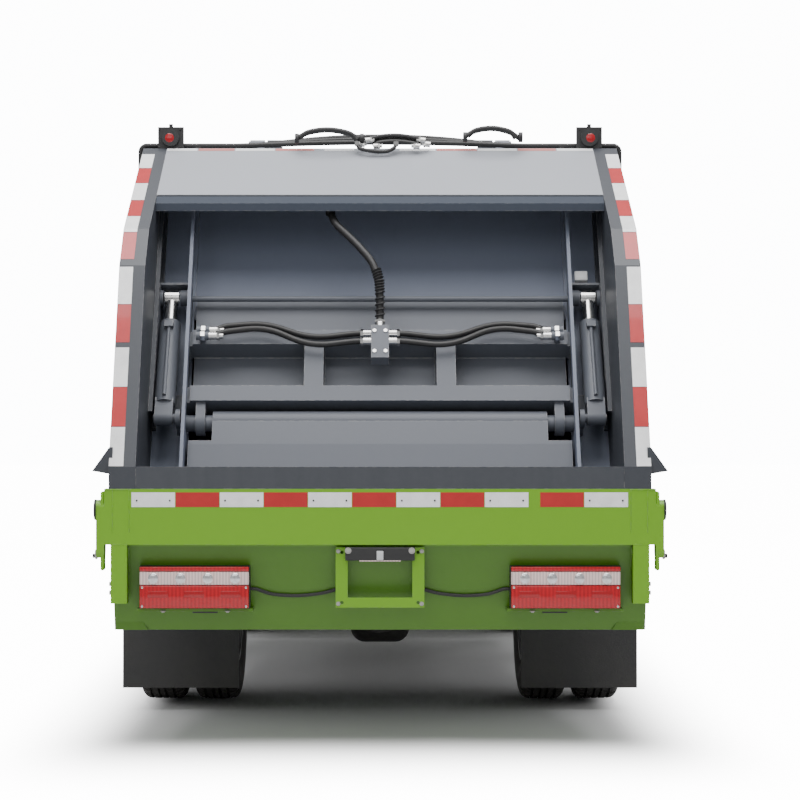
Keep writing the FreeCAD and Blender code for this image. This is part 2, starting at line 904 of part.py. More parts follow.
def rim(inward):
    """A rolled rim with its lips and well, a dished disc, hand holes and the hub."""
    bead = "tyre_bead_radius - seat_gap"
    lip_x = "tyre_bead_half + rim_lip_wide"
    outline = [
        (f"-({lip_x})", f"{bead} + rim_lip"),
        ("-tyre_bead_half - seat_gap", f"{bead} + rim_lip"),
        ("-tyre_bead_half - seat_gap", bead),
        ("-rim_well_half", bead),
        ("0", "rim_well_radius"),
        ("rim_well_half", bead),
        ("tyre_bead_half + seat_gap", bead),
        ("tyre_bead_half + seat_gap", f"{bead} + rim_lip"),
        (lip_x, f"{bead} + rim_lip"),
        (lip_x, f"{bead} - rim_wall"),
        ("rim_well_half", f"{bead} - rim_wall"),
        ("0", "rim_well_radius - rim_wall"),
        ("-rim_well_half", f"{bead} - rim_wall"),
        (f"-({lip_x})", f"{bead} - rim_wall"),
    ]
    barrel = turned(outline)
    start = f"({inward} * disc_offset - disc_wall / 2)"
    disc = rod("X", "tyre_bead_radius - rim_wall / 2", (start, f"{start} + disc_wall"))
    return fuse(barrel, disc)


def hand_holes(piece, reach):
    """Round windows spread about the disc."""
    ring = []
    for i in range(int(SIZES["hand_hole_number"])):
        one = rod("X", "hand_hole_radius", (f"-({reach})", reach))
        angle = f"(360 * {i} / hand_hole_number)"
        bind(one, "Placement.Base.y", f"hand_hole_circle * cos({angle})")
        bind(one, "Placement.Base.z", f"hand_hole_circle * sin({angle})")
        ring.append(one)
    return cut(piece, *ring)


def front_wheel(side, name):
    """Tyre, and rim with the hub that runs on the knuckle's stub."""
    x = f"({side} * front_track / 2)"
    hub_in = "(knuckle_plate_x + knuckle_plate_wall + running_gap - front_track / 2)"
    hub_out = "(tyre_bead_half - hub_cap_out)"
    hub = rod("X", "hub_radius", (hub_in, "disc_offset"))
    cap = rod("X", "hub_cap_radius", ("disc_offset", f"{hub_out} + hub_cap_out"))
    bore = rod("X", "stub_radius + pin_gap", (f"{hub_in} - cut_over", "knuckle_plate_x + stub_length + running_gap - front_track / 2"))
    solid = cut(fuse(hand_holes(rim("1"), "tyre_width"), hub, cap), bore)
    for label, piece in (("rim", solid), ("tyre", tyre())):
        piece = piece if side == 1 or label == "tyre" else mirror(piece)
        set_out = doc.addObject("Part::Compound", "set_out")
        set_out.Links = [piece]
        place(set_out, x, FRONT_AXLE, "tyre_radius")
        part(f"{label}_front_{name}", set_out)


def rear_wheel(side, name):
    """Twin tyres, and twin rims on one hub drum."""
    middle = f"({side} * dual_track / 2)"
    tyres = []
    rims = []
    for where in SIDES:
        offset = f"({where} * dual_spacing / 2)"
        one = tyre()
        place(one, offset)
        tyres.append(one)
        ring = hand_holes(rim(str(-where)), "tyre_width")
        place(ring, offset)
        rims.append(ring)
    hub_in = "(rear_tube_half + running_gap - dual_track / 2)"
    drum = rod("X", "hub_radius", (hub_in, "dual_spacing / 2"))
    cap = rod("X", "hub_cap_radius", ("dual_spacing / 2", "dual_spacing / 2 + hub_cap_out"))
    bore = rod(
        "X", "stub_radius + pin_gap",
        (f"{hub_in} - cut_over", "rear_tube_half + stub_length + running_gap - dual_track / 2")
    )
    solid = cut(fuse(*rims, drum, cap), bore)
    for label, piece in (("rim", solid), ("tyre", group(*tyres))):
        set_out = doc.addObject("Part::Compound", "set_out")
        set_out.Links = [piece if side == 1 else mirror(piece)]
        place(set_out, middle, REAR_AXLE, "tyre_radius")
        part(f"{label}_rear_{name}", set_out)


def powertrain():
    """Engine as one plain block, gearbox, propeller shaft, silencer and its pipe."""
    engine = box(
        ("-engine_half", "engine_half"), (ENGINE_REAR, f"{FRONT_AXLE} + engine_ahead"), ("engine_bottom", "engine_top")
    )
    gearbox = box(
        ("-gearbox_half", "gearbox_half"), (f"{ENGINE_REAR} - gearbox_length", ENGINE_REAR),
        ("gearbox_bottom", "gearbox_top")
    )
    mount = box(
        ("-rail_half + rail_wall + seat_gap", "rail_half - rail_wall - seat_gap"),
        (f"{ENGINE_REAR} + cross_width", f"{ENGINE_REAR} + 2 * cross_width"),
        (f"{RAIL_BOTTOM} + rail_wall + seat_gap", f"{RAIL_BOTTOM} + rail_wall + cross_height"),
    )
    shaft_front = f"({ENGINE_REAR} - gearbox_length)"
    shaft_rear = f"({REAR_AXLE} + rear_bowl_radius + rear_tube_radius + shaft_radius / 8)"
    drop = "((gearbox_bottom + gearbox_top) / 2 - tyre_radius)"
    run = f"({shaft_front} - {shaft_rear})"
    tube = doc.addObject("Part::Cylinder", "propeller_shaft")
    bind(tube, "Radius", "shaft_radius")
    bind(tube, "Height", f"sqrt({run} ^ 2 + {drop} ^ 2)")
    tube.Placement = FreeCAD.Placement(FreeCAD.Vector(), FreeCAD.Rotation(AXES["X"], -90))
    bind(tube, "Placement.Rotation.Angle", f"-atan({run} / {drop})")
    place(tube, "0", shaft_rear, "tyre_radius")
    solid = fuse(engine, gearbox, mount, tube)
    return part("powertrain", solid)


def exhaust():
    """Silencer beside the left rail on two straps, with its tail pipe."""
    rear = f"({REAR_AXLE} + silencer_ahead)"
    can = rod(
        "Y", "silencer_radius", (rear, f"{rear} + silencer_length"),
        "-silencer_x", "silencer_z"
    )
    tail = rod(
        "Y", "exhaust_radius", (f"{rear} - exhaust_reach", rear), "-silencer_x", "silencer_z"
    )
    straps = [box(
        ("-silencer_x", "-rail_half - seat_gap"), (f"{y} - strap_width / 2", f"{y} + strap_width / 2"),
        ("silencer_z - strap_width / 2", "silencer_z + strap_width / 2")
    ) for y in shares(f"{rear} + strap_width", f"{rear} + silencer_length - strap_width", 2)]
    return part("exhaust", fuse(can, tail, *straps))


def side_tank(label, side, rear, length):
    """A tank with rounded edges on the rail's outside, two straps and a filler cap."""
    inner, outer = "tank_inner", "tank_outer"
    x = (inner, outer) if side == 1 else (f"-{outer}", f"-{inner}")
    shell = box(x, (rear, f"{rear} + {length}"), ("tank_bottom", "tank_top"))
    shell = rounded(shell, "cap_radius", lambda edge: along(edge, "Y"))
    wide = (f"{x[0]} - strap_out", f"{x[1]} + strap_out")
    straps = []
    for y in shares(f"{rear} + strap_width", f"{rear} + {length} - strap_width * 2", 2):
        strap = box(wide, (y, f"{y} + strap_width"), ("tank_bottom - strap_out", "tank_top + strap_out"))
        straps.append(rounded(strap, "cap_radius + strap_out", lambda edge: along(edge, "Y")))
        reach = (f"{side} * rail_half + {side} * seat_gap", f"{side} * ({inner} + cap_radius)")
        reach = reach if side == 1 else reach[::-1]
        straps.append(box(reach, (y, f"{y} + strap_width"), ("tank_top - cap_radius * 2", "tank_top - cap_radius")))
    cap = rod(
        "Z", "cap_radius", ("tank_top", "tank_top + cap_height"),
        f"{side} * (tank_outer - cap_radius * 2)", f"{rear} + {length} / 2"
    )
    return part(label, fuse(shell, cap, *straps))


def side_guards():
    """Two bars a side on two arms from the rail, over the exhaust."""
    rear = f"({REAR_AXLE} + guard_ahead)"
    front = f"({FRONT_AXLE} - guard_behind)"
    top = "(rail_top - guard_arm * 0.4)"
    side = []
    for z in ("guard_low", "guard_high - guard_bar"):
        side.append(box(
            ("guard_out - guard_wall", "guard_out"), (rear, front), (z, f"{z} + guard_bar")
        ))
    for y in (f"{rear} + guard_arm", f"{front} - guard_arm * 2"):
        side.append(box(
            ("guard_out - guard_wall - guard_arm", "guard_out - guard_wall"), (y, f"{y} + guard_arm"),
            ("guard_low", top)
        ))
        side.append(box(
            ("rail_half + seat_gap", "guard_out - guard_wall"), (y, f"{y} + guard_arm"),
            (f"{top} - guard_arm", top)
        ))
    right = fuse(*side)
    return part("side_guards", group(right, mirror(right)))


def front_bumper():
    """A wrap-round bumper on two plates from the rails, with towing bores."""
    face = f"({FRONT})"
    outer = [
        ("-bumper_half", f"{face} - bumper_wrap"), ("-bumper_half", f"{face} - bumper_wall"),
        ("-bumper_half + bumper_depth", face), ("bumper_half - bumper_depth", face),
        ("bumper_half", f"{face} - bumper_wall"), ("bumper_half", f"{face} - bumper_wrap"),
        ("bumper_half - bumper_wrap_wall", f"{face} - bumper_wrap"),
        ("bumper_half - bumper_wrap_wall", f"{face} - bumper_wall - bumper_wrap_wall"),
        ("bumper_half - bumper_depth", f"{face} - bumper_wall"),
        ("-bumper_half + bumper_depth", f"{face} - bumper_wall"),
        ("-bumper_half + bumper_wrap_wall", f"{face} - bumper_wall - bumper_wrap_wall"),
        ("-bumper_half + bumper_wrap_wall", f"{face} - bumper_wrap"),
    ]
    beam = prism("XY", outer, ("bumper_bottom", "bumper_bottom + bumper_height"))
    slot = box(
        ("-slot_side", "slot_side"), (f"{face} - bumper_wall - cut_over", f"{face} + cut_over"),
        ("bumper_bottom + bumper_slot_low", "bumper_bottom + bumper_height - bumper_slot_low")
    )
    pockets = both(box(
        ("fog_x - fog_half", "fog_x + fog_half"), (f"{face} - fog_deep", f"{face} + cut_over"),
        ("bumper_bottom + bumper_height / 2 - fog_height / 2", "bumper_bottom + bumper_height / 2 + fog_height / 2")
    ))
    foot = box(
        ("rail_half - rail_flange", "rail_half"),
        (f"{RAIL_FRONT} + seat_gap", f"{RAIL_FRONT} + seat_gap + tow_plate_wall"),
        (RAIL_BOTTOM, f"{RAIL_BOTTOM} + tow_plate_half")
    )
    tow = box(
        ("tow_plate_x - tow_plate_wall / 2", "tow_plate_x + tow_plate_wall / 2"),
        (f"{RAIL_FRONT} + seat_gap", f"{face} - bumper_wall"),
        ("bumper_bottom", f"{RAIL_BOTTOM} + tow_plate_half")
    )
    middle = ("tow_plate_x", "bumper_bottom + bumper_height / 2")
    socket = rod("Y", "tow_socket_radius", (f"{RAIL_FRONT} + seat_gap", face), *middle)
    bores = both(rod("Y", "tow_bore_radius", (f"{RAIL_FRONT} - cut_over", f"{face} + cut_over"), *middle))
    whole = fuse(beam, *both(fuse(tow, foot, socket)))
    return part("front_bumper", cut(whole, slot, *pockets, *bores))


def rear_mudguards():
    """A rolled arch over each pair of tyres, on two rods, with the flap behind."""
    x = ("mudguard_inner", "mudguard_outer")
    wide = (f"{x[0]} - cut_over", f"{x[1]} + cut_over")
    shell = cut(
        rod("X", "guard_radius + mudguard_wall", x, REAR_AXLE, "tyre_radius"),
        rod("X", "guard_radius", wide, REAR_AXLE, "tyre_radius"),
        box(
            wide, (f"{REAR_AXLE} - 2 * guard_radius", f"{REAR_AXLE} + 2 * guard_radius"),
            ("tyre_radius - 2 * guard_radius", "flap_top")
        ),
    )
    back = f"({REAR_AXLE} - guard_radius - mudguard_wall)"
    flap = box(x, (back, f"{back} + flap_wall"), ("flap_bottom", "flap_top + flap_bar_radius * 2"))
    bars = [rod("X", "flap_bar_radius", ("rail_half + seat_gap", x[1]), y, z) for y, z in (
        (f"{back} + flap_bar_radius + flap_wall / 2", "flap_top + flap_bar_radius"),
        (f"{REAR_AXLE} + guard_radius + mudguard_wall - flap_bar_radius", "flap_top + flap_bar_radius"),
    )]
    side = fuse(shell, flap, *bars)
    return part("rear_mudguards", group(side, mirror(side)))

def from_rear(out):
    """A place given by how far it lies ahead of the vehicle's rearmost face."""
    return f"({REAR} + {out})"


HINGE_HEIGHT = "(container_top + hinge_rise)"
PIVOT_HEIGHT = "(container_floor + pivot_rise)"
LIFT_BASE = f"({CONTAINER_REAR} + lift_ahead)"
LIFT_EYE = f"({CONTAINER_REAR} - lift_behind)"


def hinge_lugs():
    """The container's half of the hinge: two eyes on feet along the roof."""
    pieces = []
    for side in SIDES:
        low = f"({side} * hinge_lug_x - hinge_lug_width / 2)"
        ends = (low, f"{low} + hinge_lug_width")
        pieces.append(rod("X", "hinge_lug_radius", ends, CONTAINER_REAR, HINGE_HEIGHT))
        pieces.append(box(ends, (CONTAINER_REAR, f"{CONTAINER_REAR} + hinge_foot"), ("container_top", HINGE_HEIGHT)))
    return pieces


def container_shell():
    """Floor, walls and roof with the outer ribs, open at the rear, with the hinge eyes and pin."""
    half = "container_half"
    y = (CONTAINER_REAR, CONTAINER_FRONT)
    shell = cut(
        box((f"-{half}", half), y, ("container_floor", "container_top")),
        box(
            (f"-{half} + container_wall", f"{half} - container_wall"),
            (f"{CONTAINER_REAR} - cut_over", f"{CONTAINER_FRONT} - container_wall"),
            ("container_floor + container_floor_wall", "container_top - container_wall")
        ),
    )
    ribs = []
    for at in shares(CONTAINER_REAR, f"{CONTAINER_FRONT} - rib_width", int(SIZES["rib_number"])):
        ribs.append(box(
            (f"-{half} - rib_depth", f"{half} + rib_depth"), (at, f"{at} + rib_width"),
            ("container_floor", "container_top")
        ))
    rails = [box(
        (f"-{half} - rib_depth", f"{half} + rib_depth"), y, (z, f"{z} + rib_width")
    ) for z in ("container_floor", "container_top - rib_width")]
    core = box(
        (f"-{half} + container_wall / 2", f"{half} - container_wall / 2"),
        (f"{CONTAINER_REAR} - cut_over", f"{CONTAINER_FRONT} + cut_over"),
        ("container_floor - cut_over", "container_top + cut_over")
    )
    trim = cut(fuse(*ribs, *rails), core)
    feet = hinge_lugs()
    pins = [rod(
        "X", "hinge_pin_radius",
        (f"{side} * hinge_pin_middle - hinge_pin_half", f"{side} * hinge_pin_middle + hinge_pin_half"),
        CONTAINER_REAR, HINGE_HEIGHT
    ) for side in SIDES]
    bosses = both(rod("X", "lift_boss_radius", ("container_half", "lift_x - lift_radius - running_gap"),
                      LIFT_BASE, "lift_base_z"))
    pivots = both(rod("X", "lift_pin_radius", ("container_half", "lift_x + lift_radius"), LIFT_BASE, "lift_base_z"))
    return part("container_shell", fuse(shell, trim, *feet, *pins, *bosses, *pivots))


def ejector_plate():
    """The push-out plate: a slanted face on a frame with shoes on the floor."""
    front = f"({CONTAINER_FRONT} - container_wall - ejector_gap)"
    side = "(container_half - container_wall - running_gap)"
    low = "(container_floor + container_floor_wall + running_gap)"
    high = "(container_top - container_wall - running_gap)"
    face = prism("YZ", [
        (front, low), (front, high), (f"{front} - ejector_wall", high),
        (f"{front} - ejector_slant - ejector_wall", f"{low} + ejector_toe"),
        (f"{front} - ejector_slant - ejector_wall", low),
    ], (f"-{side}", side))
    hollow = prism("YZ", [
        (f"{front} + cut_over", f"{low} + ejector_wall"), (f"{front} + cut_over", f"{high} - ejector_wall * 2"),
        (f"{front} - ejector_wall", f"{high} - ejector_wall * 2"),
        (f"{front} - ejector_slant", f"{low} + ejector_toe"),
        (f"{front} - ejector_slant", f"{low} + ejector_wall"),
    ], (f"-{side} + ejector_wall", f"{side} - ejector_wall"))
    shoes = both(box(
        ("ejector_shoe_x - ejector_shoe / 2", "ejector_shoe_x + ejector_shoe / 2"),
        (f"{front} - ejector_slant", front), ("container_floor + container_floor_wall + seat_gap", low)
    ))
    return part("ejector_plate", fuse(cut(face, hollow), *shoes))


def cheek_outline(inset="0"):
    """The tailgate's side seen from the side, from the sill up over the bend to the roof."""
    return [
        (from_rear("0"), "sill_height - sill_face"), (from_rear("0"), "sill_height"),
        (from_rear("side_break_out"), "side_break_height"), (from_rear("side_bend_out"), "side_bend_height"),
        (from_rear("roof_break_out"), "container_top"), (from_rear("cheek_front_out"), "container_top"),
        (from_rear("cheek_front_out"), "container_floor"), (from_rear("cheek_heel_out"), "container_floor"),
        (from_rear("cheek_toe_out"), "cheek_low"), (from_rear("cheek_back_out"), "cheek_low"),
        (from_rear("frame_depth + corner_back + seat_gap"), "sill_height - sill_face"),
    ]


def tailgate_sides():
    """The two side walls, each as thick as the whole wall, narrower beside the container."""
    cheek = prism("YZ", cheek_outline(), ("side_inner", "side_outer"))
    neck = box(
        ("side_inner", "front_side_outer"), (from_rear("cheek_front_out"), f"{CONTAINER_REAR} - door_gap"),
        ("container_floor", "container_top")
    )
    lift = rod(
        "X", "lift_boss_radius", ("front_side_outer", "lift_x - lift_radius - running_gap"),
        LIFT_EYE, "lift_eye_z"
    )
    guides = []
    for side in SIDES:
        middle = f"({side} * (guide_clear + guide_wall / 2))"
        bar = box(
            ("side_inner - guide_depth", "side_inner"),
            (f"{middle} - guide_wall / 2", f"{middle} + guide_wall / 2"), ("guide_low", "guide_high")
        )
        guides.append(bar)
    hook = prism("XZ", [
        ("side_outer - hook_in", "hook_low"), ("side_outer + hook_out", "hook_low + hook_in"),
        ("side_outer", "hook_high"), ("side_outer - hook_in", "hook_high"),
    ], (from_rear("hook_in"), from_rear("hook_in + hook_wall")))
    rails = lean(fuse(*guides), "-slide_lean", from_rear("pivot_out"), PIVOT_HEIGHT)
    right = fuse(cheek, neck, lift, rails, hook)
    return part("tailgate_sides", group(right, mirror(right)))


def tailgate_roof():
    """The folded roof: the light sloped panel with its lip, the flat part and the hinge eyes."""
    slope = "((container_top - lip_height) / (roof_break_out - lip_out))"
    lower = f"(roof_wall * sqrt(1 + {slope} ^ 2))"
    rear = f"{CONTAINER_REAR} - door_gap"
    half = "side_inner - seat_gap"
    sheet = prism("YZ", [
        (from_rear("lip_out"), "lip_height"), (from_rear("roof_break_out"), "container_top"),
        (rear, "container_top"), (rear, "container_top - roof_wall"),
        (from_rear("roof_break_out"), f"container_top - {lower}"),
        (from_rear("lip_out"), f"lip_height - {lower}"),
    ], (f"-({half})", half))
    lip = prism("YZ", [
        (from_rear("lip_out - lip_fold"), "lip_height - lip_drop"), (from_rear("lip_out"), "lip_height"),
        (from_rear("lip_out"), f"lip_height - {lower}"),
        (from_rear("lip_out - lip_fold"), f"lip_height - lip_drop - {lower}"),
    ], (f"-({half})", half))
    eyes = []
    for side in SIDES:
        low = f"({side} * hinge_eye_x - hinge_lug_width / 2)"
        ends = (low, f"{low} + hinge_lug_width")
        eyes.append(rod("X", "hinge_lug_radius", ends, CONTAINER_REAR, HINGE_HEIGHT))
        eyes.append(box(
            ends, (f"{CONTAINER_REAR} - hinge_foot", CONTAINER_REAR),
            ("container_top", f"{HINGE_HEIGHT} + hinge_lug_radius / 2")
        ))
    clear = box(
        (f"-({half})", half), (f"{CONTAINER_REAR} - door_gap", f"{CONTAINER_REAR} + hinge_foot"),
        ("container_top - cut_over", "container_top + running_gap")
    )
    bore = rod("X", "hinge_pin_radius + pin_gap", (f"-({half})", half), CONTAINER_REAR, HINGE_HEIGHT)
    return part("tailgate_roof", cut(fuse(sheet, lip, *eyes), bore, clear))


def hopper_bowl():
    """The round trough swept by the scraper, its sill at the rear and the throat's floor ahead."""
    x = ("-side_inner + seat_gap", "side_inner - seat_gap")
    wide = ("-side_inner", "side_inner")
    pivot = (from_rear("pivot_out"), PIVOT_HEIGHT)
    outer = rod("X", "bowl_radius + bowl_wall", x, *pivot)
    floor = box(
        x, (from_rear("pivot_out"), f"{CONTAINER_REAR} - door_gap"),
        ("container_floor", "container_floor + container_floor_wall")
    )
    sill = box(
        x, (REAR, f"{REAR} + sill_depth"), ("sill_height - sill_face", "sill_height")
    )
    sill_back = box(x, (REAR, from_rear("sill_back")), ("sill_height - sill_face", "sill_height"))
    inner = rod("X", "bowl_radius", ("-side_inner - cut_over", "side_inner + cut_over"), *pivot)
    above_rear = box(
        ("-side_inner - cut_over", "side_inner + cut_over"),
        (from_rear("-cut_over"), from_rear("pivot_out")), ("sill_height", f"{PIVOT_HEIGHT} + bowl_radius * 2")
    )
    above_front = box(
        ("-side_inner - cut_over", "side_inner + cut_over"),
        (from_rear("pivot_out - cut_over"), from_rear("pivot_out + bowl_radius * 2")),
        ("container_floor + container_floor_wall", f"{PIVOT_HEIGHT} + bowl_radius * 2")
    )
    behind = box(
        ("-side_inner - cut_over", "side_inner + cut_over"), (f"{REAR} - bowl_radius", REAR),
        ("0", f"{PIVOT_HEIGHT} + bowl_radius")
    )
    whole = cut(fuse(outer, floor, sill, sill_back), inner, above_rear, above_front, behind)
    return part("hopper_bowl", whole)


def hopper_front_wall():
    """The fixed wall ahead of the carriage, with the side liners that close off the cylinder bays."""
    over = ("-side_inner + seat_gap", "side_inner - seat_gap")
    wall = cut(
        box(over, ("front_wall_near", "front_wall_near + front_wall"), ("-bowl_radius", "front_wall_top")),
        box(
            ("-liner_inner", "liner_inner"), ("front_wall_near - cut_over", "front_wall_near + front_wall + cut_over"),
            ("-bowl_radius - cut_over", "front_wall_low")
        ),
    )
    liner = cut(
        box(
            ("liner_inner", "liner_inner + liner_wall"), ("-liner_back", "front_wall_near + front_wall"),
            ("-bowl_radius", "liner_top")
        ),
        box(
            ("liner_inner - cut_over", "liner_inner + liner_wall + cut_over"),
            ("-slot_half", "slot_half"), ("-slot_low", "liner_top + cut_over")
        ),
    )
    cap = box(
        ("liner_inner", "liner_inner + liner_wall"), ("-liner_back", "front_wall_near + front_wall"),
        ("liner_top", "liner_top + liner_cap")
    )
    frame = lean(fuse(wall, *both(fuse(liner, cap))), "-slide_lean", from_rear("pivot_out"), PIVOT_HEIGHT)
    lower = "(roof_wall * sqrt(1 + ((container_top - lip_height) / (roof_break_out - lip_out)) ^ 2) + seat_gap)"
    inside = prism("YZ", [
        (from_rear("sill_back"), "sill_height"), (from_rear("side_break_out"), "side_break_height"),
        (from_rear("side_bend_out"), "side_bend_height"), (from_rear("lip_out"), f"lip_height - {lower}"),
        (from_rear("roof_break_out"), f"container_top - {lower}"),
        (from_rear("cheek_front_out"), f"container_top - {lower}"),
        (from_rear("cheek_front_out"), "container_floor + container_floor_wall + seat_gap"),
        (from_rear("pivot_out"), "container_floor + container_floor_wall + seat_gap"),
    ], over)
    round_part = rod("X", "bowl_radius - seat_gap", over, from_rear("pivot_out"), PIVOT_HEIGHT)
    return part("hopper_front_wall", common(frame, fuse(inside, round_part)))


def at_slide(piece):
    """Set a piece drawn in the slide's own frame on its leaning line."""
    return lean(piece, "-slide_lean", from_rear("pivot_out"), PIVOT_HEIGHT)


def carriage():
    """The sliding frame: beams, uprights and panel, with a pair of arms in each cylinder bay."""
    half = ("-carriage_half", "carriage_half")
    deep = ("-beam_rear", "panel_near")
    pieces = [
        box(half, ("panel_near", "panel_near + panel_wall"), ("low_beam_base", "panel_top")),
        box(half, deep, ("low_beam_base", "low_beam_base + low_beam_height")),
        box(half, deep, ("top_beam_base", "top_beam_base + top_beam_height")),
        rod("X", "cross_pipe_radius", ("-arm_inner", "arm_inner"), "cross_pipe_rear", "eye_height"),
    ]
    side = [box(
        ("upright_x - upright_width / 2", "upright_x + upright_width / 2"), deep,
        ("low_beam_base", "top_beam_base")
    )]
    for x in ("arm_inner", "arm_outer"):
        arm = prism("YZ", [
            ("-arm_half", "low_beam_base"), ("-arm_half", "arm_top - arm_half"), ("-arm_half / 2", "arm_top"),
            ("arm_half / 2", "arm_top"), ("arm_half", "arm_top - arm_half"), ("arm_half", "low_beam_base"),
        ], (x, f"{x} + arm_wall"))
        side.append(arm)
    for base, height in (("low_beam_base", "low_beam_height"), ("top_beam_base", "top_beam_height")):
        side.append(box(
            ("carriage_half", "arm_inner"), ("-arm_half", "arm_half"), (base, f"{base} + {height}")
        ))
    both_arms = ("arm_inner", "arm_outer + arm_wall")
    side.append(box(both_arms, ("arm_half", "arm_half + arm_wall"), ("low_beam_base", "low_beam_base + arm_tie")))
    side.append(box(both_arms, ("-arm_half / 2", "arm_half / 2"), ("arm_top - arm_wall", "arm_top")))
    for base in ("low_beam_base", "arm_top - arm_half - shoe_height"):
        side.append(box(
            ("arm_outer", "arm_outer + arm_wall + shoe_reach"), ("-shoe_half", "shoe_half"), (base, f"{base} + shoe_height")
        ))
    eye_half = "(ram_eye_half + clevis_gap)"
    for x in (("arm_inner + arm_wall", f"ram_x - {eye_half}"), (f"ram_x + {eye_half}", "arm_outer")):
        side.append(rod("X", "eye_radius", x, "0", "eye_height"))
    low = "(lug_x - lug_wall / 2)"
    side.append(rod("X", "lug_radius", (low, f"{low} + lug_wall"), "0", "0"))
    side.append(box(
        (low, f"{low} + lug_wall"), ("-lug_radius", "panel_near"), ("0", "low_beam_base")
    ))
    bore = rod("X", "pivot_radius + pin_gap", (f"{low} - lug_wall", f"{low} + 2 * lug_wall"))
    solid = cut(fuse(*pieces, *both(fuse(*side))), *both(bore))
    return part("carriage", at_slide(solid))


def scraper():
    """The blade on its pivot tube, with the pivot shaft, and in each bay a crank with its pin facing out."""
    tube = rod("X", "scraper_tube", ("-scraper_half", "scraper_half"))
    shaft = rod("X", "pivot_radius", ("-crank_x - crank_wall / 2", "crank_x + crank_wall / 2"))
    section = [
        ("-blade_rear", "-blade_lift"), ("-blade_rear", "-blade_shoulder"),
        ("-blade_toe_rear", "-blade_toe + blade_lift"), ("-blade_toe_front", "-blade_toe"),
        ("blade_toe_front", "-blade_toe + blade_lift"), ("blade_front", "-blade_shoulder"),
        ("blade_front", "-blade_lift"),
    ]
    blade = prism("YZ", section, ("-scraper_wide", "scraper_wide"))
    pockets = both(box(
        ("scraper_half", "scraper_wide + cut_over"), ("-2 * blade_rear", "2 * blade_front"),
        ("-blade_step", "blade_rear")
    ))
    crank = []
    eye = ("-crank_radius * cos(crank_tilt)", "-crank_radius * sin(crank_tilt)")
    ends = ("crank_x - crank_wall / 2", "crank_x + crank_wall / 2")
    arm = box(ends, ("-crank_radius", "0"), ("-crank_eye_radius", "crank_eye_radius"))
    arm.Placement = FreeCAD.Placement(FreeCAD.Vector(), FreeCAD.Rotation(AXES["X"], 1))
    bind(arm, "Placement.Rotation.Angle", "crank_tilt")
    place(
        arm, ends[0],
        "-crank_radius * cos(crank_tilt) + crank_eye_radius * sin(crank_tilt)",
        "-crank_radius * sin(crank_tilt) - crank_eye_radius * cos(crank_tilt)"
    )
    crank.append(arm)
    crank.append(rod("X", "crank_eye_radius", ends, *eye))
    crank.append(rod("X", "scraper_tube", ends))
    crank.append(rod("X", "crank_pin_radius", ("crank_x", "ram_x + ram_foot_half + crank_wall / 4"), *eye))
    solid = fuse(tube, shaft, cut(blade, *pockets), *both(fuse(*crank)))
    return part("scraper", at_slide(solid))


def ram(side, name):
    """One packing cylinder: barrel on the crank's pin, rod up to the arms' bosses."""
    pin_y = "(-crank_radius * cos(crank_tilt))"
    pin_z = "(-crank_radius * sin(crank_tilt))"
    tilt = f"atan(-{pin_y} / (eye_height - {pin_z}))"
    length = f"sqrt({pin_y} ^ 2 + (eye_height - {pin_z}) ^ 2)"
    barrel = rod("Z", "barrel_radius", ("barrel_clevis", "barrel_clevis + barrel_length"))
    collar = rod(
        "Z", "ram_rod_radius + ram_collar",
        ("barrel_clevis + barrel_length", "barrel_clevis + barrel_length + ram_collar")
    )
    port = box(
        ("-ram_collar", "ram_collar"), ("-barrel_radius - ram_collar", "0"),
        ("barrel_clevis + barrel_length - 2 * ram_collar", "barrel_clevis + barrel_length - ram_collar / 2")
    )
    pipe = rod(
        "Z", "ram_pipe_radius", ("barrel_clevis + ram_collar", "barrel_clevis + barrel_length - ram_collar"),
        "0", "-barrel_radius - ram_pipe_radius / 2"
    )
    wide = ("-ram_foot_half", "ram_foot_half")
    foot = rod("X", "ram_foot_radius", wide)
    neck = box(wide, ("-ram_foot_radius", "ram_foot_radius"), ("0", "barrel_clevis + ram_collar"))
    bore = rod("X", "crank_pin_radius + pin_gap", ("-barrel_radius", "barrel_radius"))
    chamber = rod(
        "Z", "ram_rod_radius + pin_gap",
        ("barrel_clevis + ram_collar", "barrel_clevis + barrel_length + 2 * ram_collar")
    )
    shell = cut(fuse(barrel, collar, port, pipe, foot, neck), bore, chamber)
    stem = rod(
        "Z", "ram_rod_radius",
        ("barrel_clevis + ram_rod_inside", f"{length} - eye_radius * 0.8")
    )
    eye = rod("X", "eye_radius", ("-ram_eye_half", "ram_eye_half"), "0", length)
    eye_bore = rod("X", "eye_bore_radius", ("-barrel_radius", "barrel_radius"), "0", length)
    rod_piece = cut(fuse(stem, eye), eye_bore)
    for label, piece in (("ram_barrel", shell), ("ram_rod", rod_piece)):
        tilted = doc.addObject("Part::Compound", "tilted")
        tilted.Links = [piece]
        lean(tilted, tilt, pin_y, pin_z, f"{side} * ram_x")
        bind(tilted, "Placement.Rotation.Angle", f"-({tilt})")
        slid = doc.addObject("Part::Compound", "slid")
        slid.Links = [tilted]
        part(f"{label}_{name}", at_slide(slid))


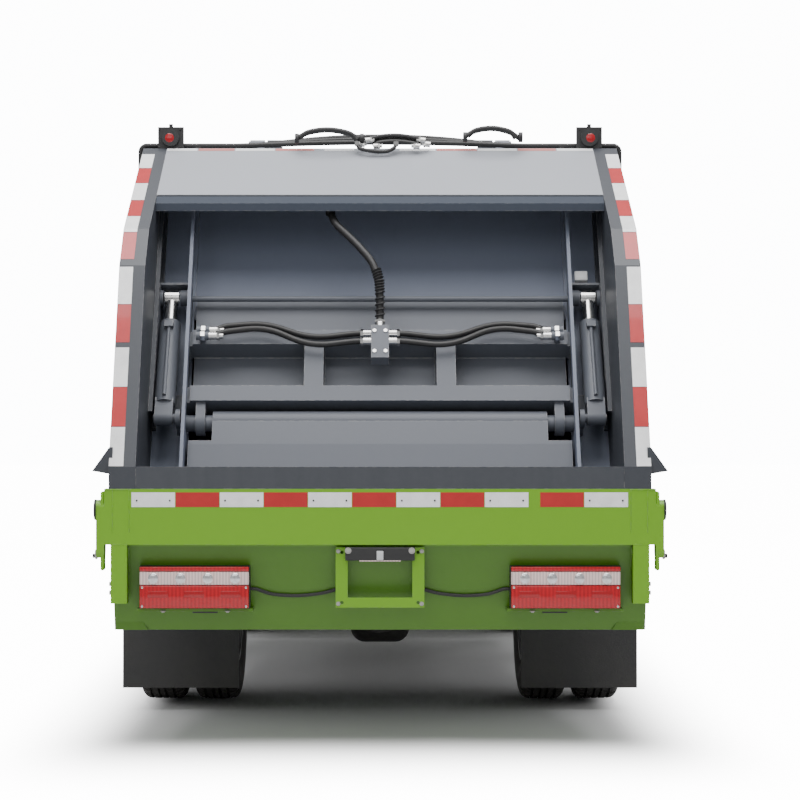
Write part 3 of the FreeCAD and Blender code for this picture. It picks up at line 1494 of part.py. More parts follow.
def lift_ram(side, name):
    """One tailgate cylinder: barrel on the container's pin, rod to the tailgate's boss."""
    run = "(lift_ahead + lift_behind)"
    rise = "(lift_eye_z - lift_base_z)"
    length = f"sqrt({run} ^ 2 + {rise} ^ 2)"
    barrel = rod("Z", "lift_radius", ("lift_clevis", "lift_clevis + lift_barrel"))
    head = rod("X", "lift_radius", ("-lift_radius * 0.8", "lift_radius * 0.8"))
    neck = box(("-lift_radius * 0.8", "lift_radius * 0.8"), ("-lift_radius * 0.6", "lift_radius * 0.6"), ("0", "lift_clevis"))
    gland = rod(
        "Z", "lift_radius + lift_gland",
        ("lift_clevis + lift_barrel - lift_radius * 1.5", "lift_clevis + lift_barrel")
    )
    bore = rod("X", "lift_pin_radius + pin_gap", ("-2 * lift_radius", "2 * lift_radius"))
    chamber = rod(
        "Z", "lift_rod_radius + pin_gap",
        ("lift_clevis + lift_radius", "lift_clevis + lift_barrel + cut_over")
    )
    shell = cut(fuse(barrel, head, neck, gland), bore, chamber)
    stem = rod("Z", "lift_rod_radius", ("lift_clevis + 2 * lift_radius", f"{length} - lift_radius * 0.8"))
    eye = rod("X", "lift_radius", ("-lift_radius * 0.8", "lift_radius * 0.8"), "0", length)
    eye_bore = rod("X", "lift_pin_radius", ("-2 * lift_radius", "2 * lift_radius"), "0", length)
    for label, piece in (("lift_barrel", shell), ("lift_rod", cut(fuse(stem, eye), eye_bore))):
        set_out = doc.addObject("Part::Compound", "set_out")
        set_out.Links = [piece]
        lean(set_out, "1", LIFT_BASE, "lift_base_z", f"{side} * lift_x")
        bind(set_out, "Placement.Rotation.Angle", f"atan({run} / {rise})")
        part(f"{label}_{name}", set_out)


def tube_along(points, radius, tightest=math.inf):
    """A pipe or hose through the points, each corner rounded as far as its runs allow."""
    edges = []
    start = points[0]
    for i in range(1, len(points) - 1):
        before = points[i - 1] - points[i]
        after = points[i + 1] - points[i]
        reach = min(SIZES["bend_share"] * min(before.Length, after.Length), tightest)
        first = points[i] + before.normalize() * reach
        last = points[i] + after.normalize() * reach
        toward = (before + after).normalize()
        half = before.getAngle(after) / 2
        bend = reach * math.tan(half)
        middle = points[i] + toward * (bend / math.sin(half) - bend)
        edges.append(Part.LineSegment(start, first).toShape())
        edges.append(Part.Arc(first, middle, last).toShape())
        start = last
    edges.append(Part.LineSegment(start, points[-1]).toShape())
    wire = Part.Wire(edges)
    way = (points[1] - points[0]).normalize()
    ring = Part.Wire([Part.makeCircle(radius, points[0], way)])
    return wire.makePipeShell([ring], True, True)


def spot(*numbers):
    """A point whose three places are worked out by the sheet."""
    return FreeCAD.Vector(*(dims.evalExpression(cells(n)) for n in numbers))


def loose_shape(shape):
    """A shape made by the pipe function, held as one object of the document."""
    thing = doc.addObject("Part::Feature", "pipes")
    thing.Shape = shape
    return thing


def supply_hose():
    """The packer's supply hose, from a union under the roof down to the back of the manifold."""
    foot = "-beam_rear - manifold_deep - seat_gap"
    middle = "-beam_rear - manifold_deep / 2"
    low = "top_beam_base - manifold_drop + manifold_height + seat_gap"
    slope = "((container_top - lip_height) / (roof_break_out - lip_out))"
    under = f"(lip_height - roof_wall * sqrt(1 + {slope} ^ 2) + (supply_out - supply_radius - supply_wall - lip_out) * {slope})"
    union = rod(
        "Z", "supply_radius + supply_wall", (f"{under} - seat_gap - supply_drop", f"{under} - seat_gap"),
        "-supply_x", from_rear("supply_out")
    )
    back = "(supply_out - pivot_out)"
    up = f"({under} - seat_gap - supply_drop + supply_radius - {PIVOT_HEIGHT})"
    end_y = f"({back} * cos(slide_lean) - {up} * sin(slide_lean))"
    end_z = f"({back} * sin(slide_lean) + {up} * cos(slide_lean))"
    run = f"({end_z} - ({low}))"
    route = [
        spot("0", middle, low), spot("0", middle, f"{low} + supply_stand"),
        spot("0", f"{foot} - supply_stand * 0.6", f"{low} + {run} * 0.3"),
        spot("-supply_x * 0.12", f"{foot} - supply_stand", f"{low} + {run} * 0.5"),
        spot("-supply_x * 0.5", f"{foot} - supply_stand", f"{low} + {run} * 0.7"),
        spot("-supply_x * 0.9", f"{foot} - supply_stand", f"{low} + {run} * 0.87"),
        spot("-supply_x", end_y, end_z),
    ]
    hose = loose_shape(tube_along(route, SIZES["supply_radius"]))
    return part("supply_hose", fuse(at_slide(hose), union))


def carriage_hoses():
    """Manifold block on the top beam, two arched hoses a side and their end elbows."""
    plane = "-beam_rear - hose_radius - fitting_wall - seat_gap"
    block = box(
        ("-manifold_half", "manifold_half"), ("-beam_rear - manifold_deep", "-beam_rear - seat_gap"),
        ("top_beam_base - manifold_drop", "top_beam_base - manifold_drop + manifold_height")
    )
    solids = []
    elbows = []
    for level in (0, 1):
        y = f"({plane} - {level} * (hose_radius * 2 + seat_gap))"
        root = f"(hose_root - {level} * hose_pitch)"
        rise = f"(hose_rise + {level} * hose_lift)"
        port = f"(top_beam_base + hose_radius + {1 - level} * port_pitch)"
        end = "(hose_end - fitting_length)"
        route = [
            spot("manifold_half + seat_gap", y, root), spot("manifold_half + hose_step", y, root),
            spot("manifold_half + hose_step * 4", y, f"{root} - hose_dip"),
            spot("manifold_half + hose_step * 7", y, f"{root} + {rise}"),
            spot(f"{end} - hose_step", y, f"{port} + hose_dip * 0.8"),
            spot(f"{end} - hose_step * 0.4", y, port), spot(f"{end} - seat_gap", y, port),
        ]
        solids.append(tube_along(route, SIZES["hose_radius"]))
        elbows.append(rod("X", "hose_radius + fitting_wall", (end, "hose_end"), y, port))
        elbows.append(rod("Y", "hose_radius", (y, "-beam_rear - seat_gap"), f"{end} + fitting_length / 2", port))
    right = loose_shape(Part.makeCompound(solids))
    hoses = part("carriage_hoses", at_slide(group(*both(right))))
    fittings = part("hose_fittings", at_slide(fuse(block, *both(fuse(*elbows)))))
    return hoses, fittings

PIPES = 3


def rear_frame():
    """The green frame under the sill: beam, corner boxes, posts, sloping panel, ears and plate bracket."""
    y = (REAR, f"{REAR} + frame_depth")
    beam = box(("-frame_half", "frame_half"), y, ("frame_beam_low", "sill_height - sill_face - seat_gap"))
    panel = prism("YZ", [
        (from_rear("panel_top_out"), "frame_beam_low"), (from_rear("panel_top_out + frame_wall"), "frame_beam_low"),
        (from_rear("panel_low_out + frame_wall"), "frame_low"), (from_rear("panel_low_out"), "frame_low"),
    ], ("-post_outer", "post_outer"))
    shelf = box(
        ("-post_outer", "post_outer"), (REAR, from_rear("panel_top_out + frame_wall")),
        ("frame_beam_low", "frame_beam_low + frame_wall")
    )
    side = [
        box(("post_inner", "post_outer"), (REAR, from_rear("post_depth")), ("post_low", "frame_beam_low")),
        box(
            ("corner_inner", "corner_outer"), (f"{REAR}", from_rear("frame_depth + corner_back")),
            ("corner_low", "sill_height - sill_face - seat_gap")
        ),
    ]
    for z in ("ear_high", "ear_low"):
        side.append(rod("X", "ear_radius", ("frame_half", "frame_half + ear_wall"), from_rear("ear_radius"), z))
    side.append(box(
        ("frame_half", "frame_half + ear_wall"), (REAR, from_rear("2 * ear_radius")), ("ear_low", "ear_high")
    ))
    skirt = prism("XZ", [
        ("post_inner", "post_low"), ("post_outer", "post_low"), ("post_outer - frame_wall", "frame_low"),
        ("post_inner - post_depth", "frame_low"),
    ], (from_rear("panel_low_out - frame_wall"), from_rear("panel_low_out + frame_wall")))
    side.append(skirt)
    tank = prism("YZ", [
        (from_rear("panel_low_out + frame_wall / 2"), "frame_low + frame_wall"),
        (from_rear("panel_top_out + frame_wall"), "tank_lid"), (from_rear("drain_out"), "tank_lid"),
        (from_rear("drain_out"), "frame_low + drain_rise"), (from_rear("drain_out - drain_rise"), "frame_low + frame_wall"),
    ], ("-post_inner", "post_inner"))
    lamp_seats = both(box(
        ("lamp_inner - lamp_rim", "lamp_outer + lamp_rim"),
        (from_rear("lamp_out"), from_rear("panel_low_out + frame_wall")), ("lamp_low - lamp_rim", "lamp_low")
    ))
    trough = rod("X", "bowl_radius + bowl_wall + seat_gap", ("-side_outer", "side_outer"), from_rear("pivot_out"), PIVOT_HEIGHT)
    arms = both(box(
        ("bracket_x - frame_wall / 2", "bracket_x + frame_wall / 2"),
        (from_rear("bracket_out"), from_rear("panel_low_out")), ("bracket_low", "bracket_top")
    ))
    plate = box(
        ("-bracket_half", "bracket_half"), (from_rear("bracket_out - frame_wall"), from_rear("bracket_out")),
        ("bracket_low", "bracket_top")
    )
    window = box(
        ("-bracket_window", "bracket_window"), (from_rear("bracket_out - frame_wall - cut_over"), from_rear("bracket_out + cut_over")),
        ("bracket_low + bracket_rim", "bracket_top - bracket_rim")
    )
    bores = [rod(
        "Y", "bracket_bore_radius",
        (from_rear("bracket_out - frame_wall - cut_over"), from_rear("bracket_out + cut_over")), x, z
    ) for x in ("-bracket_bore_x", "bracket_bore_x") for z in ("bracket_low + bracket_rim / 2", "bracket_top - bracket_rim / 2")]
    plate_piece = cut(plate, window, *bores)
    recesses = both(box(
        ("lamp_inner - seat_gap", "lamp_outer + seat_gap"),
        (from_rear("-cut_over"), from_rear("lamp_out + lamp_depth + seat_gap")),
        ("lamp_low", "lamp_low + lamp_height + seat_gap")
    ))
    body = cut(fuse(beam, panel, shelf, tank, *both(fuse(*side))), trough, *recesses)
    return part("rear_frame", fuse(body, plate_piece, *arms, *lamp_seats))


def tail_lamps():
    """A lamp body on each side with its dark housing behind the lens."""
    housing = box(
        ("lamp_inner", "lamp_outer"), (from_rear("lamp_out"), from_rear("lamp_out + lamp_depth")),
        ("lamp_low + seat_gap", "lamp_low + lamp_height")
    )
    lens = box(
        ("lamp_inner + lamp_rim", "lamp_outer - lamp_rim"), (from_rear("lamp_out - lens_out"), from_rear("lamp_out")),
        ("lamp_low + lamp_rim", "lamp_low + lamp_height - lamp_rim")
    )
    lens = rounded(lens, "lamp_rim", lambda edge: along(edge, "Y"))
    right = fuse(housing, lens)
    return part("tail_lamps", group(right, mirror(right)))


def lamp_cable():
    """The cable that lies on the sloping panel from a tail lamp to the plate bracket's arm."""
    slope = "((panel_low_out - panel_top_out) / (frame_beam_low - frame_low))"
    stand = f"((cable_radius + seat_gap) * sqrt(1 + {slope} ^ 2))"
    ends = ("lamp_inner - seat_gap", "bracket_x + frame_wall / 2 + seat_gap")
    route = []
    sags = (("0", "0"), ("0.06", "0"), ("0.22", "0.75"), ("0.5", "1"), ("0.78", "0.6"), ("0.94", "0"), ("1", "0"))
    for share, sag in sags:
        z = f"(cable_end - cable_sag * {sag})"
        y = from_rear(f"panel_top_out + (frame_beam_low - {z}) * {slope} - {stand}")
        route.append(spot(f"({ends[0]}) + (({ends[1]}) - ({ends[0]})) * {share}", y, z))
    return loose_shape(tube_along(route, SIZES["cable_radius"]))


def plate_lamp():
    """The black lamp over the bare plate bracket."""
    lamp = box(
        ("-plate_lamp_half", "plate_lamp_half"),
        (from_rear("bracket_out - frame_wall - plate_lamp_out"), from_rear("bracket_out - frame_wall - seat_gap")),
        ("plate_lamp_low", "plate_lamp_low + plate_lamp_height")
    )
    return part("plate_lamp", rounded(lamp, "plate_lamp_height / 8", lambda edge: along(edge, "X")))


def marker_lamps():
    """A round red lamp in a square black holder at each upper corner of the roof."""
    foot = box(
        ("marker_x - marker_half", "marker_x + marker_half"),
        (from_rear("marker_out"), from_rear("marker_out + marker_depth")),
        ("container_top + seat_gap", "container_top + marker_height")
    )
    lens = rod(
        "Y", "marker_lens_radius", (from_rear("marker_out - marker_lens_out"), from_rear("marker_out")),
        "marker_x", "container_top + marker_height / 2"
    )
    stud = rod(
        "Z", "marker_stud_radius", ("container_top + marker_height", "container_top + marker_height + marker_stud"),
        "marker_x", from_rear("marker_out + marker_depth / 2")
    )
    right = fuse(foot, lens, stud)
    return part("marker_lamps", group(right, mirror(right)))


def roof_pipes():
    """Hydraulic pipes over the roof and down both outer sides, in their clips."""
    radius = SIZES["pipe_radius"]
    runs = []
    for level in range(PIPES):
        out = f"pipe_out + {level} * pipe_pitch"
        z = "container_top + pipe_radius + pipe_stand"
        x_side = "(side_outer + pipe_radius + pipe_stand)"
        for side, foot in ((-1, "pipe_left_foot"), (1, "pipe_right_foot")):
            if level == PIPES - 1:
                clipped = spot(f"{side} * (pipe_clip_x + pipe_clip)", from_rear(out), z)
                runs.append(tube_along([spot(f"{side} * pipe_middle", from_rear(out), z), clipped], radius))
                continue
            drop = f"{foot} + {level} * pipe_pitch"
            route = [
                spot(f"{side} * pipe_middle", from_rear(out), z),
                spot(f"{side} * {x_side}", from_rear(out), z),
                spot(f"{side} * {x_side}", from_rear(out), f"container_top - pipe_drop"),
                spot(f"{side} * {x_side}", from_rear(f"{out} - pipe_forward"), drop),
            ]
            runs.append(tube_along(route, radius, SIZES["pipe_bend"]))
        rise = f"pipe_hump * {level + 1}"
        runs.append(tube_along([
            spot("-pipe_middle", from_rear(out), z), spot("-pipe_middle * 0.3", from_rear(out), f"{z} + {rise}"),
            spot("pipe_middle * 0.3", from_rear(out), f"{z} + {rise}"), spot("pipe_middle", from_rear(out), z),
        ], radius))
    reach = (from_rear("pipe_out - pipe_radius"), from_rear(f"pipe_out + {PIPES - 1} * pipe_pitch + pipe_radius"))
    clips = both(box(
        ("pipe_clip_x", "pipe_clip_x + pipe_clip"), reach,
        ("container_top + seat_gap", "container_top + pipe_stand + pipe_radius")
    ))
    clips += both(box(
        ("side_outer + seat_gap", "side_outer + pipe_stand + pipe_radius"), (reach[0], from_rear("pipe_out + pipe_pitch + pipe_radius")),
        ("container_top - pipe_drop * 0.7", "container_top - pipe_drop * 0.7 + pipe_clip")
    ))
    return fuse(loose_shape(Part.makeCompound(runs)), *clips)


def pipework():
    """The roof's pipes and the tail lamps' cables."""
    return part("pipework", group(roof_pipes(), *both(lamp_cable())))

CAB_REAR = f"({CONTAINER_FRONT} + cab_gap)"
CAB_FRONT = f"({FRONT} - cab_set_back)"
ARCH = (FRONT_AXLE, "tyre_radius")
DOOR_REAR = f"({FRONT_AXLE} - door_behind)"
DOOR_FRONT = f"({FRONT_AXLE} + door_ahead)"
PLATFORM_FRONT = f"({CAB_REAR} + platform_deep)"
HINGE = ("cab_half + door_hinge_out", f"{DOOR_FRONT} + door_gap_wide / 2")


def cab_outline():
    """The cab seen from the side, from the rear wall over the roof to the nose."""
    return [
        (CAB_REAR, "cab_bottom"), (CAB_REAR, "cab_top - cab_roof_round"),
        (f"{CAB_REAR} + cab_roof_round / 2", "cab_top - cab_roof_round / 4"),
        (f"{CAB_REAR} + cab_roof_round * 1.6", "cab_top"), (f"{CAB_FRONT} - roof_front_back", "cab_top"),
        (f"{CAB_FRONT} - screen_back", "cab_top - cab_roof_round"), (f"{CAB_FRONT} - nose_back", "waist"),
        (CAB_FRONT, "waist - nose_drop"), (CAB_FRONT, "cab_bottom"),
    ]


def cab_inside():
    """The room inside, with the raised seat platform."""
    wall = "cab_wall"
    return [
        (f"{CAB_REAR} + {wall}", "platform"), (f"{CAB_REAR} + {wall}", "cab_top - cab_roof_round"),
        (f"{CAB_REAR} + cab_roof_round * 1.6", f"cab_top - {wall}"),
        (f"{CAB_FRONT} - roof_front_back - {wall}", f"cab_top - {wall}"),
        (f"{CAB_FRONT} - screen_back - {wall}", "cab_top - cab_roof_round - cab_wall / 2"),
        (f"{CAB_FRONT} - nose_back - {wall}", "waist"),
        (f"{CAB_FRONT} - {wall}", "waist - nose_drop"), (f"{CAB_FRONT} - {wall}", "cab_bottom + cab_wall"),
        (PLATFORM_FRONT, "cab_bottom + cab_wall"), (PLATFORM_FRONT, "platform"),
    ]


def cab_under():
    """The open space under the platform, for engine and wheels."""
    return [
        (f"{CAB_REAR} + cab_wall", "cab_bottom - cut_over"), (f"{CAB_REAR} + cab_wall", "platform - cab_wall"),
        (f"{PLATFORM_FRONT} - cab_wall", "platform - cab_wall"), (f"{PLATFORM_FRONT} - cab_wall", "cab_bottom - cut_over"),
    ]


def cab_body():
    """The whole pressed cab as one hollow form, before it is split at its seams."""
    half = "cab_half"
    outer = prism("YZ", cab_outline(), (f"-{half}", half))
    outer = rounded(outer, "cab_edge", lambda edge: cab_edge(edge))
    room = prism("YZ", cab_inside(), (f"-{half} + cab_wall", f"{half} - cab_wall"))
    under = prism("YZ", cab_under(), (f"-{half} + cab_wall", f"{half} - cab_wall"))
    wells = both(rod("X", "arch_radius + arch_wall", ("well_inner - arch_wall", "cab_half - cab_wall"), *ARCH))
    well_room = prism("YZ", cab_outline(), (f"-{half}", half))
    hollow = cut(outer, room, under)
    lined = fuse(hollow, *(common(well, well_room) for well in wells))
    arches = both(rod("X", "arch_radius", ("well_inner", "cab_half + cut_over"), *ARCH))
    return cut(lined, *arches)


def cab_edge(edge):
    """The long outer edges of the side walls above the floor."""
    reach = edge.BoundBox
    flat = reach.XLength < SIZES["seat_gap"]
    return flat and abs(abs(reach.XMax) - SIZES["cab_half"]) < SIZES["seat_gap"] and reach.ZMax > SIZES["cab_bottom"]


def door_outline(gap="0"):
    """The door's edge: straight hinge side, raked pillar, and the cut round the wheel arch."""
    arch = f"(arch_radius + arch_lip - {gap})"
    low = f"(door_bottom - {gap})"
    rear = f"({DOOR_REAR} - {gap})"
    front = f"({DOOR_FRONT} + {gap})"
    first = f"acos(({rear} - {FRONT_AXLE}) / {arch})"
    last = f"asin(({low} - tyre_radius) / {arch})"
    points = []
    for angle in shares(first, last, 5):
        points.append((f"{FRONT_AXLE} + {arch} * cos({angle})", f"tyre_radius + {arch} * sin({angle})"))
    points += [
        (front, low), (front, "waist"),
        (f"{front} - door_rake", f"door_top + {gap}"), (rear, f"door_top + {gap}"),
    ]
    return points


def door_window(shrink="0"):
    return [
        (f"{DOOR_REAR} + frame_width + {shrink}", f"waist + window_sill + {shrink}"),
        (f"{DOOR_REAR} + frame_width + {shrink}", f"door_top - frame_width - {shrink}"),
        (f"{DOOR_FRONT} - door_rake - frame_width - {shrink}", f"door_top - frame_width - {shrink}"),
        (f"{DOOR_FRONT} - frame_width * 1.35 - {shrink}", f"waist + window_sill + {shrink}"),
    ]


def hinge_heights():
    return ("door_hinge_low", "(door_hinge_low + door_hinge_rise)")


def pillar_hinges():
    """The fixed halves of one door's hinges: two eyes, a leaf and the pin at each height."""
    pieces = []
    for z in hinge_heights():
        whole = (f"{z} - door_hinge_high / 2", f"{z} + door_hinge_high * 1.5")
        pieces.append(rod("Z", "door_pin_radius", whole, *HINGE))
        for ends in ((whole[0], z), (f"{z} + door_hinge_high", whole[1])):
            pieces.append(rod("Z", "door_hinge_radius", ends, *HINGE))
            pieces.append(box(
                ("cab_half", "cab_half + door_hinge_wall"), (HINGE[1], f"{HINGE[1]} + door_hinge_leaf"), ends
            ))
    return pieces


def tilt_ears():
    """Two ears a side under the nose, which turn on the frame's tilt pins."""
    near = "(rail_half - rail_flange + tilt_lug_wall + running_gap)"
    ends = (near, f"{near} + tilt_ear_wall")
    eye = rod("X", "tilt_lug_radius", ends, *TILT)
    neck = box(
        ends, (f"{TILT[0]} - tilt_lug_radius", f"{TILT[0]} + tilt_lug_radius"), ("tilt_height", "cab_bottom + cab_wall / 2")
    )
    bore = rod("X", "tilt_pin_radius + pin_gap", (f"{near} - cut_over", f"{near} + 2 * cut_over"), *TILT)
    return cut(fuse(eye, neck), bore)


def doors():
    """Each door is as thick as the wall, with its window cut and a pull handle."""
    x = ("cab_half - cab_wall", "cab_half")
    panel = prism("YZ", door_outline(), x)
    window = prism("YZ", door_window(), ("cab_half - cab_wall - cut_over", "cab_half + cut_over"))
    handle = box(
        ("cab_half", "cab_half + handle_out"), (f"{DOOR_REAR} + frame_width", f"{DOOR_REAR} + frame_width + handle_long"),
        ("waist - handle_drop", "waist - handle_drop + handle_high")
    )
    rail = box(
        ("cab_half - cab_wall - handle_out", "cab_half - cab_wall"),
        (f"{DOOR_REAR} + frame_width", f"{DOOR_FRONT} - frame_width * 2"), ("waist - handle_drop", "waist")
    )
    leaves = []
    bores = []
    for z in hinge_heights():
        eye = rod("Z", "door_hinge_radius", (f"{z} + seat_gap", f"{z} + door_hinge_high - seat_gap"), *HINGE)
        leaf = box(
            ("cab_half", "cab_half + door_hinge_wall"), (f"{HINGE[1]} - door_hinge_leaf", HINGE[1]),
            (f"{z} + seat_gap", f"{z} + door_hinge_high - seat_gap")
        )
        leaves += [leaf, eye]
        bores.append(rod("Z", "door_pin_radius + pin_gap", (z, f"{z} + door_hinge_high"), *HINGE))
    right = cut(fuse(cut(panel, window), handle, rail, *leaves), *bores)
    part("door_right", right)
    part("door_left", mirror(right))
    glass = prism("YZ", door_window("seat_gap"), ("cab_half - glass_in - glass_wall", "cab_half - glass_in"))
    part("door_glass_right", glass)
    part("door_glass_left", mirror(glass))


def cab_panels():
    """Split the hollow cab at its seams: floor, rear wall, roof, sides and front."""
    body = cab_body()
    over = ("-cab_half - cut_over", "cab_half + cut_over")
    inner = ("-cab_half + cab_wall", "cab_half - cab_wall")
    openings = both(prism("YZ", door_outline("door_gap_wide"), ("cab_half - cab_wall - cut_over / 3", "cab_half + cut_over")))
    screen = screen_cut()
    rear_window = box(
        ("-rear_window_half", "rear_window_half"), (f"{CAB_REAR} - cut_over", f"{CAB_REAR} + cab_wall + cut_over"),
        ("rear_window_low", "rear_window_high")
    )
    tunnel = box(
        ("-engine_half - cut_over", "engine_half + cut_over"), (f"{CAB_REAR} - cut_over", f"{CAB_REAR} + cab_wall + cut_over"),
        ("0", "engine_top + tunnel_gap")
    )
    whole = cut(body, *openings, screen, rear_window, tunnel)
    roof_zone = fuse(
        box(over, (f"{CAB_REAR} - cut_over", f"{CAB_FRONT}"), ("cab_top - cab_roof_round", "cab_top + cut_over")),
        box(inner, (f"{CAB_REAR} + cab_wall", CAB_FRONT), ("door_top", "cab_top")),
    )
    front_zone = prism("YZ", [
        (f"{DOOR_FRONT} + door_gap_wide", "0"), (f"{CAB_FRONT} + cut_over", "0"),
        (f"{CAB_FRONT} + cut_over", "cab_top - cab_roof_round"),
        (f"{DOOR_FRONT} + door_gap_wide - door_rake", "cab_top - cab_roof_round"),
        (f"{DOOR_FRONT} + door_gap_wide", "waist"),
    ], over)
    rear_zone = box(inner, (f"{CAB_REAR} - cut_over", f"{CAB_REAR} + cab_wall"), ("0", "cab_top - cab_roof_round"))
    floor_zone = box(
        inner, (f"{CAB_REAR} + cab_wall", f"{DOOR_FRONT} + door_gap_wide"), ("0", "platform")
    )
    part("cab_roof", common(whole, roof_zone))
    front = cut(common(whole, front_zone), roof_zone)
    hinges = fuse(*pillar_hinges())
    part("cab_front", fuse(front, *both(hinges), *both(tilt_ears())))
    part("cab_rear", common(whole, rear_zone))
    part("cab_floor", common(whole, floor_zone))
    rest = cut(whole, roof_zone, front_zone, rear_zone, floor_zone)
    part("cab_sides", rest)


def screen_cut():
    """The windscreen's opening, square to the raked screen."""
    rise = "(cab_top - cab_roof_round - waist)"
    run = "(screen_back - nose_back)"
    return prism("YZ", [
        (f"{CAB_FRONT} - nose_back - {run} * 0.06 + cut_over * 3", f"waist + {rise} * 0.06"),
        (f"{CAB_FRONT} - screen_back + {run} * 0.05 + cut_over * 3", f"waist + {rise} * 0.95"),
        (f"{CAB_FRONT} - screen_back + {run} * 0.05 - cab_wall - cut_over", f"waist + {rise} * 0.95"),
        (f"{CAB_FRONT} - nose_back - {run} * 0.06 - cab_wall - cut_over", f"waist + {rise} * 0.06"),
    ], ("-screen_half", "screen_half"))


def cab_glass():
    """Windscreen and rear window."""
    rise = "(cab_top - cab_roof_round - waist)"
    run = "(screen_back - nose_back)"
    low_y = f"({CAB_FRONT} - nose_back - {run} * 0.06 - glass_in)"
    high_y = f"({CAB_FRONT} - screen_back + {run} * 0.05 - glass_in)"
    screen = prism("YZ", [
        (low_y, f"waist + {rise} * 0.06 + seat_gap"), (high_y, f"waist + {rise} * 0.95 - seat_gap"),
        (f"{high_y} - glass_wall", f"waist + {rise} * 0.95 - seat_gap"),
        (f"{low_y} - glass_wall", f"waist + {rise} * 0.06 + seat_gap"),
    ], ("-screen_half + seat_gap", "screen_half - seat_gap"))
    rear = box(
        ("-rear_window_half + seat_gap", "rear_window_half - seat_gap"),
        (f"{CAB_REAR} + glass_in", f"{CAB_REAR} + glass_in + glass_wall"),
        ("rear_window_low + seat_gap", "rear_window_high - seat_gap")
    )
    part("cab_glass", group(screen, rear))


def cab_fittings():
    """Dashboard with column and wheel, seats, lamps, grille and mirrors."""
    inner = "(cab_half - cab_wall - seat_gap)"
    face = f"({CAB_FRONT} - cab_wall - seat_gap)"
    dash = prism("YZ", [
        (f"{face} - dash_deep", "waist - dash_drop"), (f"{face} - dash_deep", "waist - dash_under"),
        (f"{face} - nose_back", "waist - dash_under"), (f"{face}", "waist - nose_drop * 1.6"),
        (face, "waist - nose_drop - seat_gap"), (f"{face} - nose_back - seat_gap", "waist - seat_gap * 4"),
        (f"{face} - dash_deep * 0.8", "waist"),
    ], ("-dash_half", "dash_half"))
    column_y = f"({CAB_FRONT} - column_back)"
    column = rod("Z", "column_radius", ("0", "column_length"))
    lean(column, "column_lean", column_y, "column_z", "wheel_x")
    ring = doc.addObject("Part::Torus", "wheel_ring")
    bind(ring, "Radius1", "wheel_radius")
    bind(ring, "Radius2", "wheel_grip")
    lean(ring, "column_lean", f"{column_y} - column_length * sin(column_lean)", "column_z + column_length * cos(column_lean)", "wheel_x")
    spokes = []
    for turn in (0, 120, 240):
        spoke = box(("-wheel_grip", "wheel_grip"), ("0", "wheel_radius"), ("-wheel_grip / 2", "wheel_grip / 2"))
        spoke.Placement = FreeCAD.Placement(FreeCAD.Vector(), FreeCAD.Rotation(AXES["Z"], turn))
        if turn == 0:
            place(spoke, "-wheel_grip", "0", "-wheel_grip / 2")
        else:
            place(spoke, f"-wheel_grip * cos({turn})", f"-wheel_grip * sin({turn})", "-wheel_grip / 2")
        spokes.append(spoke)
    star = doc.addObject("Part::Compound", "star")
    star.Links = [fuse(*spokes)]
    lean(star, "column_lean", f"{column_y} - column_length * sin(column_lean)", "column_z + column_length * cos(column_lean)", "wheel_x")
    part("dashboard", fuse(dash, column, ring, star))
    seats = []
    for x, width in (("wheel_x", "seat_width"), ("passenger_x", "bench_width")):
        ends = (f"{x} - {width} / 2", f"{x} + {width} / 2")
        cushion = box(ends, (f"{CAB_REAR} + cab_wall + back_wall", f"{CAB_REAR} + cab_wall + back_wall + seat_deep"),
                      ("platform + seat_gap", "platform + seat_high"))
        back = prism("YZ", [
            (f"{CAB_REAR} + cab_wall + seat_gap", "platform + seat_gap"),
            (f"{CAB_REAR} + cab_wall + back_wall * 1.5", "platform + seat_gap"),
            (f"{CAB_REAR} + cab_wall + back_wall", "platform + back_high"),
            (f"{CAB_REAR} + cab_wall + seat_gap", "platform + back_high"),
        ], ends)
        head = box(
            (f"{x} - head_half", f"{x} + head_half"),
            (f"{CAB_REAR} + cab_wall + seat_gap", f"{CAB_REAR} + cab_wall + back_wall"),
            ("platform + back_high", "platform + back_high + head_high")
        )
        seat = fuse(cushion, back, head)
        seats.append(seat)
    part("seats", group(*seats))
    lamp = box(
        ("headlamp_x - headlamp_half", "headlamp_x + headlamp_half"), (f"{CAB_FRONT} + seat_gap", f"{CAB_FRONT} + headlamp_out"),
        ("headlamp_low", "headlamp_low + headlamp_high")
    )
    lamp = rounded(lamp, "headlamp_out", lambda edge: along(edge, "Y"))
    part("head_lamps", group(lamp, mirror(lamp)))
    slats = [box(
        ("-grille_half", "grille_half"), (f"{CAB_FRONT} + seat_gap", f"{CAB_FRONT} + grille_out"), (z, f"{z} + grille_slat")
    ) for z in shares("grille_low", "grille_high - grille_slat", 4)]
    bars = [box(
        (f"{x} - grille_slat / 2", f"{x} + grille_slat / 2"), (f"{CAB_FRONT} + seat_gap", f"{CAB_FRONT} + grille_out"),
        ("grille_low", "grille_high")
    ) for x in ("-grille_half + grille_slat / 2", "0", "grille_half - grille_slat / 2")]
    part("grille", fuse(*slats, *bars))
    mirror_y = f"({CAB_FRONT} - mirror_back)"
    stay = [
        rod("X", "stay_radius", ("cab_half + seat_gap", "mirror_x"), mirror_y, z)
        for z in ("mirror_low + stay_in", "mirror_low + stay_in + stay_rise")
    ]
    post = rod("Z", "stay_radius", ("mirror_low", "mirror_high"), "mirror_x", mirror_y)
    head = box(
        ("mirror_x - mirror_half", "mirror_x + mirror_half"), (f"{mirror_y} - mirror_deep", mirror_y),
        ("waist", "mirror_high - stay_in")
    )
    head = rounded(head, "mirror_deep / 3", lambda edge: along(edge, "Y"))
    right = fuse(*stay, post, head)
    part("mirrors", group(right, mirror(right)))


